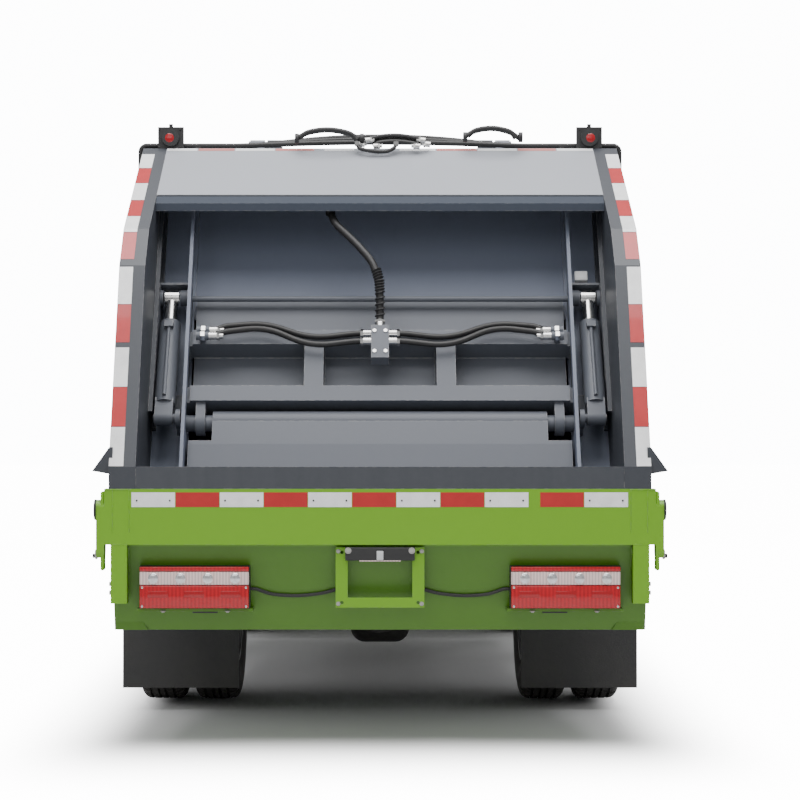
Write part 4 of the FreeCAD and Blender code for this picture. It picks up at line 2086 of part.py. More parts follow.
chassis_frame()
front_axle()
rear_axle()
steering()
for wheel_side, wheel_name in ((1, "right"), (-1, "left")):
    front_wheel(wheel_side, wheel_name)
    rear_wheel(wheel_side, wheel_name)
powertrain()
exhaust()
side_tank("fuel_tank", -1, f"({FRONT_AXLE} - fuel_behind)", "fuel_length")
side_tank("oil_tank", 1, f"({FRONT_AXLE} - oil_behind)", "oil_length")
side_guards()
front_bumper()
rear_mudguards()
container_shell()
ejector_plate()
tailgate_sides()
tailgate_roof()
hopper_bowl()
hopper_front_wall()
rear_frame()
tail_lamps()
plate_lamp()
marker_lamps()
pipework()
carriage()
carriage_hoses()
supply_hose()
scraper()
for ram_side, ram_name in ((1, "right"), (-1, "left")):
    ram(ram_side, ram_name)
    lift_ram(ram_side, ram_name)
cab_panels()
cab_glass()
doors()
cab_fittings()

doc.recompute()
failed = [thing.Label for thing in doc.Objects if "Invalid" in thing.State or "Error" in thing.State]
for piece in parts:
    if piece.Shape.isNull() or not piece.Shape.isValid() or not piece.Shape.Solids:
        failed.append(piece.Label)
if failed:
    raise RuntimeError("not built: " + ", ".join(failed))
os.makedirs("parts", exist_ok=True)
for piece in parts:
    piece.Shape.exportStep(f"parts/{piece.Label}.step")
print(len(parts), "sub-parts written")
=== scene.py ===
import bmesh
import bpy
import math
from mathutils import Matrix, Vector


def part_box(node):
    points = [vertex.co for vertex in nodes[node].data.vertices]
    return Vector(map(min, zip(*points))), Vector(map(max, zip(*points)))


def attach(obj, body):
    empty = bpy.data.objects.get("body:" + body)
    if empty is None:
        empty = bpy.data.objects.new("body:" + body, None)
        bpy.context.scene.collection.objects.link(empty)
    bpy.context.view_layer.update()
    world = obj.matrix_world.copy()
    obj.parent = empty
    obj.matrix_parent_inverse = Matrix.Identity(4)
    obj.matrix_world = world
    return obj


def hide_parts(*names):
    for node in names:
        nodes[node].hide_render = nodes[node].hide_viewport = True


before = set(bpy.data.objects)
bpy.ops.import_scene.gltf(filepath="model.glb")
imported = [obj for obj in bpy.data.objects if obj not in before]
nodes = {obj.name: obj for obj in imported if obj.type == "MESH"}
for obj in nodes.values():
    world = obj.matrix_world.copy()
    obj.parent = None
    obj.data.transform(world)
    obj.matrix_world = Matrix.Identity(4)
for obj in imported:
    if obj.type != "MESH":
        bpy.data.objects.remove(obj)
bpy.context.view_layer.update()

# The picture is taken from straight behind, at chest height and with a long lens.
# A pale floor runs out to a pale sky, with a broad soft light over the tailgate; away from the truck the
# floor's white is painted light.
camera_place = (0, -9.95, 1.15)
lens = bpy.data.cameras.new("rear_view")
lens.sensor_width, lens.lens = 36, 96.75
lens.shift_x, lens.shift_y = 0.025, 0.019
camera = bpy.data.objects.new("rear_view", lens)
camera.location = camera_place
camera.rotation_euler = (math.pi / 2, 0, 0)
bpy.context.collection.objects.link(camera)
bpy.context.scene.camera = camera


def soft_light(name, size, power, place, aim):
    """A rectangular lamp that faces a point."""
    lamp = bpy.data.lights.new(name, "AREA")
    lamp.shape = "RECTANGLE"
    lamp.size, lamp.size_y = size
    lamp.energy = power
    holder = bpy.data.objects.new(name, lamp)
    holder.location = place
    holder.rotation_euler = (Vector(aim) - Vector(place)).to_track_quat("-Z", "Y").to_euler()
    bpy.context.collection.objects.link(holder)


soft_light("sky_panel", (7, 8), 950, (0, -3.0, 7.5), (0, -1.2, 0))
soft_light("rear_panel", (6, 3.5), 90, (-1.5, -9.5, 4.6), (0, -2.6, 1.2))
soft_light("front_panel", (6, 4), 260, (3.0, 9.0, 4.5), (0, 2.0, 1.2))
soft_light("left_panel", (6, 3), 130, (-8.0, 0, 3.4), (0, 0, 1.2))
soft_light("right_panel", (6, 3), 130, (8.0, 0, 3.4), (0, 0, 1.2))


def shader_of(name):
    """A new material, its node tree and its surface shader."""
    finish = bpy.data.materials.new(name)
    finish.use_nodes = True
    tree = finish.node_tree
    return finish, tree, tree.nodes["Principled BSDF"]


def wire(tree, node, **sockets):
    """Sockets by name or number, each given a value or a link's source."""
    for key, value in sockets.items():
        socket = node.inputs[int(key[1:])] if key[1:].isdigit() else node.inputs[key.replace("_", " ")]
        if isinstance(value, bpy.types.NodeSocket):
            tree.links.new(value, socket)
        else:
            socket.default_value = value


def put(tree, kind, settings=None, **sockets):
    """One shader node in a tree: plain settings, then its sockets."""
    node = tree.nodes.new("ShaderNode" + kind)
    for key, value in (settings or {}).items():
        setattr(node, key, value)
    wire(tree, node, **sockets)
    return node


def place_in(tree):
    """The place on the piece, in its own coordinates."""
    return put(tree, "TexCoord").outputs["Object"]


def axis_of(tree, place, way):
    return put(tree, "SeparateXYZ", Vector=place).outputs[way]


def noise(tree, place, scale, detail):
    return put(tree, "TexNoise", Vector=place, Scale=scale, Detail=detail).outputs["Fac"]


def ramp(tree, value, start, end, low=0.0, high=1.0, curve="LINEAR"):
    """A value carried over from one range to another, and held at its ends."""
    settings = {"interpolation_type": curve}
    return put(tree, "MapRange", settings, Value=value, _1=start, _2=end, _3=low, _4=high).outputs["Result"]


def reckon(tree, operation, first, second, third=0.0, clamp=False):
    """The result of one sum."""
    settings = {"operation": operation, "use_clamp": clamp}
    return put(tree, "Math", settings, _0=first, _1=second, _2=third).outputs[0]


def blend(tree, share, first, second):
    """A colour between two others; a plain one is red, green and blue."""
    first, second = ((*tone, 1) if isinstance(tone, tuple) else tone for tone in (first, second))
    return put(tree, "Mix", {"data_type": "RGBA"}, _0=share, _6=first, _7=second).outputs[2]


WHITE_OUT = 14.0
sky = bpy.data.worlds.new("pale_sky")
sky.use_nodes = True
tree = sky.node_tree
seen = put(tree, "LightPath").outputs["Is Camera Ray"]
wire(tree, tree.nodes["Background"], Color=(0.97, 0.98, 1.0, 1),
     Strength=ramp(tree, seen, 0.0, 1.0, 0.5, WHITE_OUT))
bpy.context.scene.world = sky

floor_mesh = bmesh.new()
bmesh.ops.create_grid(floor_mesh, x_segments=1, y_segments=1, size=40)
floor_data = bpy.data.meshes.new("studio_floor")
floor_mesh.to_mesh(floor_data)
floor_mesh.free()
floor = bpy.data.objects.new("studio_floor", floor_data)
bpy.context.collection.objects.link(floor)
pale_floor, tree, shader = shader_of("pale_floor")
here = place_in(tree)
pale = blend(tree, noise(tree, here, 1.5, 4.0), (0.60, 0.60, 0.60), (0.64, 0.64, 0.64))
# Painted light: away from the truck the floor glows white to the camera alone, and its fade towards the truck
# is a painted soft shadow.
away = put(tree, "VectorMath", {"operation": "ABSOLUTE"}, _0=here).outputs["Vector"]
beside, along = (ramp(tree, axis_of(tree, away, way), near, far, 1.0, 0.0, "SMOOTHERSTEP")
                 for way, near, far in (("X", 0.80, 1.50), ("Y", 2.20, 3.70)))
glow = reckon(tree, "SUBTRACT", 1.0, reckon(tree, "MULTIPLY", beside, along))
painted_floor_light = reckon(tree, "MULTIPLY", glow, WHITE_OUT)
painted_floor_light_seen = reckon(tree, "MULTIPLY", painted_floor_light, put(tree, "LightPath").outputs["Is Camera Ray"])
wire(tree, shader, Base_Color=pale, Emission_Strength=painted_floor_light_seen, Roughness=0.8)
floor_data.materials.append(pale_floor)


# All sheet metal is sprayed: the paint is a little uneven, dulls with age, takes dust low down
# and in streaks, and wears through to grey steel along its folds and edges.
def build_wear_group():
    group = bpy.data.node_groups.new("sprayed_metal_wear", "ShaderNodeTree")
    face = group.interface
    for name in ("Paint", "Dust"):
        face.new_socket(name=name, in_out="INPUT", socket_type="NodeSocketColor")
    for name, value in (("Fade", 0.25), ("Dusty", 0.3), ("Dust Top", 0.8), ("Rub", 0.5), ("Edge", 0.004),
                        ("Shine", 0.35)):
        face.new_socket(name=name, in_out="INPUT", socket_type="NodeSocketFloat").default_value = value
    for name, kind in (("Color", "Color"), ("Roughness", "Float"), ("Metal", "Float"), ("Height", "Float")):
        face.new_socket(name=name, in_out="OUTPUT", socket_type="NodeSocket" + kind)
    enter = group.nodes.new("NodeGroupInput").outputs
    leave = group.nodes.new("NodeGroupOutput")
    where = place_in(group)
    broad = put(group, "TexNoise", Vector=where, Scale=1.7, Detail=5.0, Roughness=0.6).outputs["Fac"]
    fine = noise(group, where, 55.0, 3.0)
    grit = noise(group, where, 320.0, 2.0)
    long_way = put(group, "Mapping", Vector=where, Scale=(26.0, 26.0, 1.6)).outputs["Vector"]
    streak = noise(group, long_way, 1.0, 4.0)
    faded = put(group, "HueSaturation", Saturation=0.82, Value=1.16, Color=enter["Paint"]).outputs["Color"]
    aged = blend(group, reckon(group, "MULTIPLY", broad, enter["Fade"]), enter["Paint"], faded)
    low = ramp(group, axis_of(group, where, "Z"), 0.0, enter["Dust Top"], 1.0, 0.12)
    speckle = reckon(group, "MULTIPLY_ADD", fine, 0.35, reckon(group, "MULTIPLY", streak, low))
    grime = reckon(group, "MULTIPLY", speckle, enter["Dusty"], clamp=True)
    dusted = blend(group, grime, aged, enter["Dust"])
    round_edge = put(group, "Bevel", {"samples": 4}, Radius=enter["Edge"]).outputs["Normal"]
    flat = put(group, "NewGeometry").outputs["Normal"]
    same = put(group, "VectorMath", {"operation": "DOT_PRODUCT"}, _0=round_edge, _1=flat).outputs["Value"]
    rubbed = reckon(group, "MULTIPLY", ramp(group, same, 0.99, 0.86), ramp(group, fine, 0.44, 0.58))
    bare = reckon(group, "MULTIPLY", rubbed, enter["Rub"], clamp=True)
    dull = reckon(group, "MULTIPLY_ADD", grime, 0.45, enter["Shine"])
    wire(group, leave, Color=blend(group, bare, dusted, (0.30, 0.29, 0.28)),
         Roughness=reckon(group, "MULTIPLY_ADD", broad, 0.12, dull, clamp=True),
         Metal=reckon(group, "MULTIPLY", bare, 0.7), Height=reckon(group, "MULTIPLY_ADD", grit, 0.3, fine))
    return group


wear = build_wear_group()


def sprayed(name, paint, dust=(0.20, 0.18, 0.15), fade=0.35, dusty=0.25, top=1.0, rub=0.55, edge=0.004,
            shine=0.38, peel=0.0004, coat=0.0):
    """Sprayed metal with the shared wear, at this finish's own values."""
    finish, tree, shader = shader_of(name)
    look = put(tree, "Group", {"node_tree": wear, "name": "wear"}, Paint=(*paint, 1), Dust=(*dust, 1),
               Fade=fade, Dusty=dusty, Dust_Top=top, Rub=rub, Edge=edge, Shine=shine).outputs
    ripple = put(tree, "Bump", Strength=0.35, Distance=peel, Height=look["Height"]).outputs["Normal"]
    wire(tree, shader, Base_Color=look["Color"], Roughness=look["Roughness"], Metallic=look["Metal"],
         Normal=ripple, Coat_Weight=coat, Coat_Roughness=0.12)
    return finish


def dress(finish, *names):
    """Give CAD nodes their finish."""
    for name in names:
        for slot in nodes[name].material_slots:
            slot.material = finish


def settle(name, shape, body, slot, *finishes, round_to=32):
    """A finished mesh as a piece that rides on a body, round where it bends less than an angle."""
    for face in shape.faces:
        face.smooth = True
    for edge in shape.edges:
        edge.smooth = len(edge.link_faces) == 2 and edge.calc_face_angle() < math.radians(round_to)
    data = bpy.data.meshes.new(name)
    shape.to_mesh(data)
    shape.free()
    for finish in finishes:
        data.materials.append(finish)
    piece = bpy.data.objects.new(name, data)
    bpy.context.collection.objects.link(piece)
    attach(piece, body)
    return piece


def coat_faces(verts, material):
    """The faces at some points get their finish; they are returned."""
    faces = {face for vert in verts for face in vert.link_faces}
    for face in faces:
        face.material_index = material
    return faces


def ease(shape, faces, width, steps=2):
    """The edges of some faces are rounded by a bevel."""
    edges = list({edge for face in faces for edge in face.edges})
    bmesh.ops.bevel(shape, geom=edges, offset=width, segments=steps, profile=0.5, affect="EDGES", material=-1)


def block(shape, low, high, soft=0.0, steps=2, material=0):
    """A block between two corners in a mesh, with its edges rounded."""
    verts = bmesh.ops.create_cube(shape, size=1)["verts"]
    bmesh.ops.scale(shape, vec=Vector(high) - Vector(low), verts=verts)
    bmesh.ops.translate(shape, vec=(Vector(high) + Vector(low)) / 2, verts=verts)
    faces = coat_faces(verts, material)
    if soft:
        ease(shape, faces, soft, steps)


def side_block(shape, side, low, high, soft=0.0, steps=2, material=0):
    """A block given for the right-hand side, or its mirror image on the left."""
    near, far = sorted((low[0] * side, high[0] * side))
    block(shape, (near, *low[1:]), (far, *high[1:]), soft, steps, material)


def drum(shape, axis, centre, radius, length, sides=24, soft=0.0, material=0):
    """A round piece along an axis about its centre, with rounded rims."""
    quarter = math.pi / 2
    turn = {"X": Matrix.Rotation(quarter, 4, "Y"), "Y": Matrix.Rotation(quarter, 4, "X"), "Z": Matrix()}[axis]
    verts = bmesh.ops.create_cone(shape, cap_ends=True, segments=sides, radius1=radius, radius2=radius,
                                  depth=length, matrix=Matrix.Translation(centre) @ turn)["verts"]
    faces = coat_faces(verts, material)
    if soft:
        ease(shape, [face for face in faces if len(face.verts) > 4], soft)


# The lower rear frame and the cab are sprayed the same lime green, with a clear top coat.
# The panel below the beam is painted a darker green: painted shade under the beam's overhang.
LIME = (0.155, 0.385, 0.002)
beam_foot, panel_back = 0.700, -2.6255
lime = sprayed("lime_green_paint", (0.150, 0.350, 0.003), dust=(0.11, 0.16, 0.03), fade=0.12, dusty=0.12,
               top=0.9, rub=0.35, shine=0.30, coat=0.4)
# Its dark green dust below the beam's foot is partly real dust and partly painted shade.
frame_green = sprayed("frame_green_dust_and_painted_shade", LIME, dust=(0.06, 0.12, 0.010), fade=0.08, dusty=0.16,
                      top=0.74, rub=0.35, shine=0.34, coat=0.12)


def repaint(finish, share, first, second):
    """The sprayed colour changes from one paint to another over the piece."""
    tree = finish.node_tree
    wire(tree, tree.nodes["wear"], Paint=blend(tree, share, first, second))


tree = frame_green.node_tree
here = place_in(tree)
# Painted shade: below the beam's foot and back in the panel's recess, the green is darker.
beam_shade_height = ramp(tree, axis_of(tree, here, "Z"), beam_foot, beam_foot + 0.012, 1.0, 0.0)
beam_shade_depth = ramp(tree, axis_of(tree, here, "Y"), panel_back, panel_back + 0.003)
repaint(frame_green, reckon(tree, "MULTIPLY", beam_shade_height, beam_shade_depth), LIME, (0.066, 0.185, 0.001))
dress(frame_green, "rear_frame")
dress(lime, "cab_front", "cab_rear", "cab_roof", "cab_sides", "cab_floor", "door_left", "door_right")

# Container and tailgate are welded sheet in a dark blue-grey, which the refuse polishes and scuffs.
# The hopper's own sheets are rubbed dull and streaked by what slides over them.
hull_paint = sprayed("dark_blue_grey_paint", (0.036, 0.041, 0.052), dust=(0.16, 0.15, 0.14), fade=0.5,
                     dusty=0.16, top=1.4, rub=0.5, shine=0.36)
dress(hull_paint, "container_shell", "tailgate_sides")
HOPPER = (0.145, 0.170, 0.235)
sill_back = -2.646
hopper_paint = sprayed("scuffed_hopper_paint_shaded_sill", HOPPER, dust=(0.15, 0.15, 0.165), fade=0.7, dusty=0.22,
                       top=2.4, rub=0.7, shine=0.42)
tree = hopper_paint.node_tree
# The sill's rear face is painted a darker blue-grey: painted shade on its sloping underside.
clear_of_sill_shade = ramp(tree, axis_of(tree, place_in(tree), "Y"), sill_back, sill_back + 0.006)
repaint(hopper_paint, clear_of_sill_shade, (0.036, 0.041, 0.050), HOPPER)
dress(hopper_paint, "hopper_bowl", "hopper_front_wall", "ejector_plate")

# The roof panel is silver grey above its fold; the lip below the fold is dark and dull.
PANEL = (0.33, 0.345, 0.38)
fold_low, fold_high = 1.9665, 1.9685
panel_paint = sprayed("silver_grey_panel", PANEL, dust=(0.26, 0.26, 0.26), fade=0.3, dusty=0.1, top=2.0,
                      rub=0.3, shine=0.34)
tree = panel_paint.node_tree
high = axis_of(tree, place_in(tree), "Z")
repaint(panel_paint, ramp(tree, high, fold_low, fold_high), (0.050, 0.060, 0.080), PANEL)
wire(tree, tree.nodes["Principled BSDF"], Specular_IOR_Level=ramp(tree, high, fold_low, fold_high, 0.04, 0.5))
dress(panel_paint, "tailgate_roof")

# The packer's steelwork and cylinders wear the most. Frame, axles and guards are chassis black.
packer_paint = sprayed("worn_packer_paint", (0.090, 0.101, 0.126), dust=(0.17, 0.17, 0.17), fade=0.9,
                       dusty=0.28, top=2.4, rub=0.9, shine=0.40)
dress(packer_paint, "carriage", "scraper", "ram_barrel_left", "ram_barrel_right", "lift_barrel_left",
      "lift_barrel_right", "hose_fittings")
chassis_paint = sprayed("black_chassis_paint", (0.018, 0.018, 0.020), dust=(0.10, 0.09, 0.08), fade=0.4,
                        dusty=0.45, top=0.9, rub=0.3, shine=0.5)
dress(chassis_paint, "chassis_frame", "front_axle", "rear_axle", "side_guards", "knuckle_left",
      "knuckle_right", "tie_rod", "oil_tank")

# Rods are hard-chromed and wet with oil; hoses are black rubber with a fine cloth-marked skin.
# The flaps are heavy rubber sheet, dusty towards their lower edge.
chrome, tree, shader = shader_of("chromed_rod")
smear = noise(tree, place_in(tree), 24.0, 5.0)
wire(tree, shader, Base_Color=blend(tree, smear, (0.80, 0.80, 0.79), (0.55, 0.54, 0.52)),
     Roughness=ramp(tree, smear, 0.35, 0.75, 0.08, 0.34), Metallic=1.0)
dress(chrome, "ram_rod_left", "ram_rod_right", "lift_rod_left", "lift_rod_right")


def rubber(name, colour, dust, grain, depth, dull=0.62, dusty=0.5, top=0.5):
    """Rubber with a fine skin, greyed by dust low down."""
    finish, tree, shader = shader_of(name)
    here = place_in(tree)
    patch = noise(tree, here, 5.0, 5.0)
    low = ramp(tree, axis_of(tree, here, "Z"), 0.0, top, dusty, dusty * 0.3)
    cloth_mark = noise(tree, here, grain, 3.0)
    bump = put(tree, "Bump", Strength=0.6, Distance=depth, Height=cloth_mark).outputs["Normal"]
    wire(tree, shader, Base_Color=blend(tree, reckon(tree, "MULTIPLY", patch, low, clamp=True), colour, dust),
         Roughness=reckon(tree, "MULTIPLY_ADD", patch, 0.25, dull - 0.1), Normal=bump)
    return finish


hose_rubber = rubber("hose_rubber", (0.011, 0.011, 0.012), (0.07, 0.065, 0.06), 260.0, 0.0004, dull=0.45,
                     dusty=0.4, top=3.0)
dress(hose_rubber, "carriage_hoses", "pipework", "supply_hose")
flap_rubber = rubber("flap_rubber", (0.028, 0.029, 0.032), (0.12, 0.11, 0.10), 150.0, 0.0008, dull=0.66,
                     dusty=0.55, top=0.6)
dress(flap_rubber, "rear_mudguards")
tyre_rubber = rubber("tyre_rubber", (0.016, 0.016, 0.017), (0.13, 0.12, 0.105), 190.0, 0.0006, dull=0.7,
                     dusty=0.6, top=0.8)
dress(tyre_rubber, "tyre_front_left", "tyre_front_right", "tyre_rear_left", "tyre_rear_right")
moulded = rubber("black_moulding", (0.017, 0.017, 0.018), (0.10, 0.095, 0.09), 420.0, 0.0003, dull=0.48,
                 dusty=0.25, top=1.2)
dress(moulded, "front_bumper", "grille", "mirrors", "plate_lamp", "dashboard", "tail_lamps", "marker_lamps")

# Wheels are silver-painted steel; the engine is rough cast iron, and the silencer's steel is
# browned by heat. The fuel tank is brushed aluminium with darker straps.
wheel_silver = sprayed("silver_wheel_paint", (0.42, 0.43, 0.45), fade=0.3, dusty=0.55, top=0.8, rub=0.3)
dress(wheel_silver, "rim_front_left", "rim_front_right", "rim_rear_left", "rim_rear_right")
cast = sprayed("cast_engine_iron", (0.07, 0.07, 0.075), dust=(0.13, 0.12, 0.10), fade=0.6, dusty=0.6, top=1.2,
               rub=0.4, shine=0.55, peel=0.0015)
dress(cast, "powertrain")
heated = sprayed("heated_exhaust_steel", (0.22, 0.19, 0.165), dust=(0.12, 0.085, 0.06), fade=0.9, dusty=0.7,
                 top=1.2, rub=0.6, shine=0.4)
dress(heated, "exhaust")
tank_skin = sprayed("brushed_tank_aluminium", (0.60, 0.61, 0.62), dust=(0.22, 0.20, 0.17), fade=0.4,
                    dusty=0.35, top=0.8, rub=0.2, shine=0.26)
dress(tank_skin, "fuel_tank")

# Window glass is faintly green and almost clear. Lamp lenses are moulded in ribs that
# scatter the light, over a dark housing.
glass, tree, shader = shader_of("window_glass")
haze = ramp(tree, noise(tree, place_in(tree), 6.0, 4.0), 0.3, 0.8, 0.0, 0.05)
wire(tree, shader, Roughness=haze, Base_Color=(0.80, 0.90, 0.86, 1), Transmission_Weight=1.0, IOR=1.45)
dress(glass, "cab_glass", "door_glass_left", "door_glass_right")


def lens_finish(name, colour, ribs, deep=0.0008, glow=0.0):
    """A moulded lamp lens with upright ribs."""
    finish, tree, shader = shader_of(name)
    here = place_in(tree)
    across = put(tree, "TexWave", {"wave_type": "BANDS", "bands_direction": "X", "wave_profile": "SIN"},
                 Vector=here, Scale=ribs).outputs["Fac"]
    tone = blend(tree, across, tuple(part * 0.7 for part in colour), colour)
    bump = put(tree, "Bump", Strength=0.7, Distance=deep, Height=across).outputs["Normal"]
    dull = ramp(tree, noise(tree, here, 40.0, 3.0), 0.0, 1.0, 0.08, 0.22)
    wire(tree, shader, Base_Color=tone, Roughness=dull, Normal=bump, Coat_Weight=0.35)
    if glow:
        wire(tree, shader, Emission_Color=tone, Emission_Strength=glow)
    return finish


red_lens = lens_finish("red_lamp_lens", (0.47, 0.003, 0.010), 24.0, deep=0.00015, glow=0.10)
clear_lens = lens_finish("clear_lamp_lens", (0.86, 0.66, 0.63), 30.0, deep=0.0003)
dress(lens_finish("head_lamp_lens", (0.72, 0.74, 0.77), 18.0), "head_lamps")


# The retro-reflective tape is cut in blocks of red and white and pressed on the outer edges.
# It follows the side edges over their bend, the roof panel's top edge and the green beam.
def tape_finish(name, colour):
    """Tape with its fine honeycomb, greyed in patches."""
    finish, tree, shader = shader_of(name)
    here = place_in(tree)
    comb = put(tree, "TexVoronoi", {"feature": "DISTANCE_TO_EDGE"}, Vector=here, Scale=260.0)
    cell = ramp(tree, comb.outputs["Distance"], 0.0, 0.12, 0.86, 1.0)
    shade = ramp(tree, noise(tree, here, 22.0, 5.0), 0.35, 0.8, 1.0, 0.78)
    tone = blend(tree, reckon(tree, "MULTIPLY", cell, shade), tuple(part * 0.35 for part in colour), colour)
    wire(tree, shader, Base_Color=tone, Roughness=0.28, Coat_Weight=0.3)
    return finish


white_tape = tape_finish("white_tape", (0.95, 0.95, 0.95))
red_tape = tape_finish("red_tape", (0.52, 0.020, 0.022))
pale_red_tape = tape_finish("pale_red_tape", (0.62, 0.22, 0.20))
TAPE_STAND = 0.0006


def tape_run(shape, path, marks, width_way, out_way):
    """Blocks of tape along a path of (place, distance) corners; marks are (start, end, finish)."""
    def at(distance):
        for (first, a), (second, b) in zip(path, path[1:]):
            if distance <= b:
                return first.lerp(second, max(0.0, (distance - a) / (b - a)))
        return path[-1][0]

    bends = [distance for _, distance in path[1:-1]]
    for start, end, finish in marks:
        stops = [start, *(bend for bend in bends if start < bend < end), end]
        for low, high in zip(stops, stops[1:]):
            corners = []
            for distance, side in ((low, 0), (high, 0), (high, 1), (low, 1)):
                corners.append(shape.verts.new(at(distance) + width_way * side + out_way * TAPE_STAND))
            face = shape.faces.new(corners)
            face.material_index = finish
            face.normal_update()
            if face.normal.dot(out_way) < 0:
                face.normal_flip()


def path_of(*corners):
    """The corners of a line, each with its distance from the start."""
    run = [(Vector(corners[0]), 0.0)]
    for corner in corners[1:]:
        run.append((Vector(corner), run[-1][1] + (Vector(corner) - run[-1][0]).length))
    return run


# Up each side edge: white and red by turns, a block 50 mm wide, with bare paint at two joins.
rear_face = -2.650
edge_in, edge_wide = 0.872, 0.049
EDGE_UP = [(0.002, 0.146, 0), (0.148, 0.295, 1), (0.297, 0.446, 0), (0.466, 0.612, 1), (0.614, 0.760, 0),
           (0.798, 0.938, 1), (0.941, 1.066, 0), (1.069, 1.208, 1), (1.211, 1.365, 0), (1.368, 1.507, 1),
           (1.510, 1.645, 0)]
for side, name in ((-1, "left"), (1, "right")):
    shape = bmesh.new()
    inner = edge_in * side
    edge = path_of((inner, rear_face, 0.975), (inner, -2.350, 1.680), (inner, -2.220, 1.820),
                   (inner, -1.570, 2.190))
    for (first, a), (second, b) in zip(edge, edge[1:]):
        along = (second - first).normalized()
        out = Vector((0, -along.z, along.y))
        cuts = [(max(low, a), min(high, b), finish) for low, high, finish in EDGE_UP if low < b and high > a]
        tape_run(shape, [(first, a), (second, b)], cuts, Vector((edge_wide * side, 0, 0)), out)
    settle(f"edge_tape_{name}", shape, "tailgate", "panel_paint", white_tape, red_tape)

# Along the beam: eleven blocks with a bare gap before the last two. Two small dark screws
# go through each white block.
beam_left, beam_right, tape_foot, tape_high = -0.844, 0.850, 0.838, 0.050
block_long, block_gap, late_by = 0.15, 0.002, 0.038
screw_in, screw_high = 0.018, 0.8600
shape = bmesh.new()
beam_tape = path_of((beam_left, rear_face, tape_foot), (beam_right, rear_face, tape_foot))
blocks = []
for i in range(11):
    late = late_by if i >= 9 else 0
    blocks.append((block_long * i + late, block_long * (i + 1) - block_gap + late, i % 2))
tape_run(shape, beam_tape, blocks, Vector((0, 0, tape_high)), Vector((0, -1, 0)))
for start, end, _ in blocks[::2]:
    for x in (start + screw_in, end - screw_in):
        drum(shape, "Y", (beam_left + x, rear_face - 0.0015, screw_high), 0.0032, 0.0020, sides=12,
             soft=0.0005, material=2)
settle("beam_tape", shape, "tailgate", "green_paint", white_tape, red_tape, moulded)

# Along the roof panel's top edge, faded by the sun, with two gaps where the pipes cross.
roof_half, roof_tape_wide = 0.828, 0.022
roof_way = Vector((0, 0.39, 0.222)).normalized()
shape = bmesh.new()
top_edge = path_of((-roof_half, -1.592, 2.1775), (roof_half, -1.592, 2.1775))
blocks = [(0.0, 0.118, 0), (0.122, 0.262, 1), (0.266, 0.418, 0), (0.422, 0.572, 1), (0.612, 0.728, 0),
          (0.904, 1.044, 0), (1.048, 1.205, 1), (1.208, 1.360, 0), (1.364, 1.512, 1), (1.516, 1.656, 0)]
tape_run(shape, top_edge, blocks, roof_way * roof_tape_wide, Vector((0, -roof_way.z, roof_way.y)))
settle("roof_edge_tape", shape, "tailgate", "panel_paint", white_tape, pale_red_tape)


# Each tail lamp is a black housing behind one moulded lens: a thin red rim, a clear strip over
# bright bowls, and a red field with three darker reflectors, all held by four screws.
def dome(shape, centre, radius, flat, sides, material=0):
    """A ball pressed flat from back to front."""
    verts = bmesh.ops.create_uvsphere(shape, u_segments=sides, v_segments=sides // 2, radius=radius,
                                      matrix=Matrix.Translation(centre))["verts"]
    bmesh.ops.scale(shape, vec=(1, flat, 1), space=Matrix.Translation(-centre), verts=verts)
    coat_faces(verts, material)


bowl_chrome, tree, shader = shader_of("lamp_bowl")
# The bowls' facets are painted light at their middles and darker at their rims: a painted reflection.
facet = put(tree, "TexVoronoi", Vector=place_in(tree), Scale=110.0).outputs["Distance"]
bowl_painted_reflection = blend(tree, facet, (0.86, 0.86, 0.87), (0.60, 0.58, 0.58))
wire(tree, shader, Base_Color=bowl_painted_reflection, Metallic=0.85, Roughness=0.16)
deep_red = lens_finish("deep_red_reflector", (0.42, 0.003, 0.008), 60.0, deep=0.0003)
lamp_in, lamp_out, lens_y, seat_y = 0.4465, 0.8180, -2.6365, -2.6165
bowl_high, bowl_radius, reflector_half, lens_screw_in = 0.595, 0.0185, 0.036, 0.009
shape = bmesh.new()
for side in (-1, 1):
    for stand, foot, top, soft, colour in ((0.004, 0.6185, 0.6340, 0.003, 0),
                                           (0.002, 0.573, 0.6175, 0.002, 1), (0.004, 0.493, 0.571, 0.004, 0)):
        side_block(shape, side, (lamp_in, lens_y - stand, foot), (lamp_out, seat_y, top), soft,
                   material=colour)
    left, right = sorted((lamp_in * side, lamp_out * side))
    for i in range(4):
        middle = Vector((left + (right - left) * (i + 0.5) / 4, lens_y - 0.0045, bowl_high))
        dome(shape, middle, bowl_radius, 0.28, 24, material=4)
        drum(shape, "Y", middle + Vector((0, 0.001, 0)), bowl_radius + 0.002, 0.005, sides=28, soft=0.001,
             material=1)
    for i in range(3):
        x = left + (right - left) * (i + 0.5) / 3
        block(shape, (x - reflector_half, lens_y - 0.0048, 0.528),
              (x + reflector_half, lens_y + 0.004, 0.553), soft=0.003, material=5)
    for x in (left + lens_screw_in, right - lens_screw_in):
        for z in (0.500, 0.5640):
            drum(shape, "Y", (x, lens_y - 0.005, z), 0.0042, 0.003, sides=12, soft=0.0006, material=3)
    side_block(shape, side, (0.555, -2.612, 0.4745), (0.640, -2.574, 0.4795), soft=0.001, material=2)
settle("tail_lamp_lenses", shape, "tailgate", "lamp_lens", red_lens, clear_lens, moulded, chrome, bowl_chrome,
       deep_red)

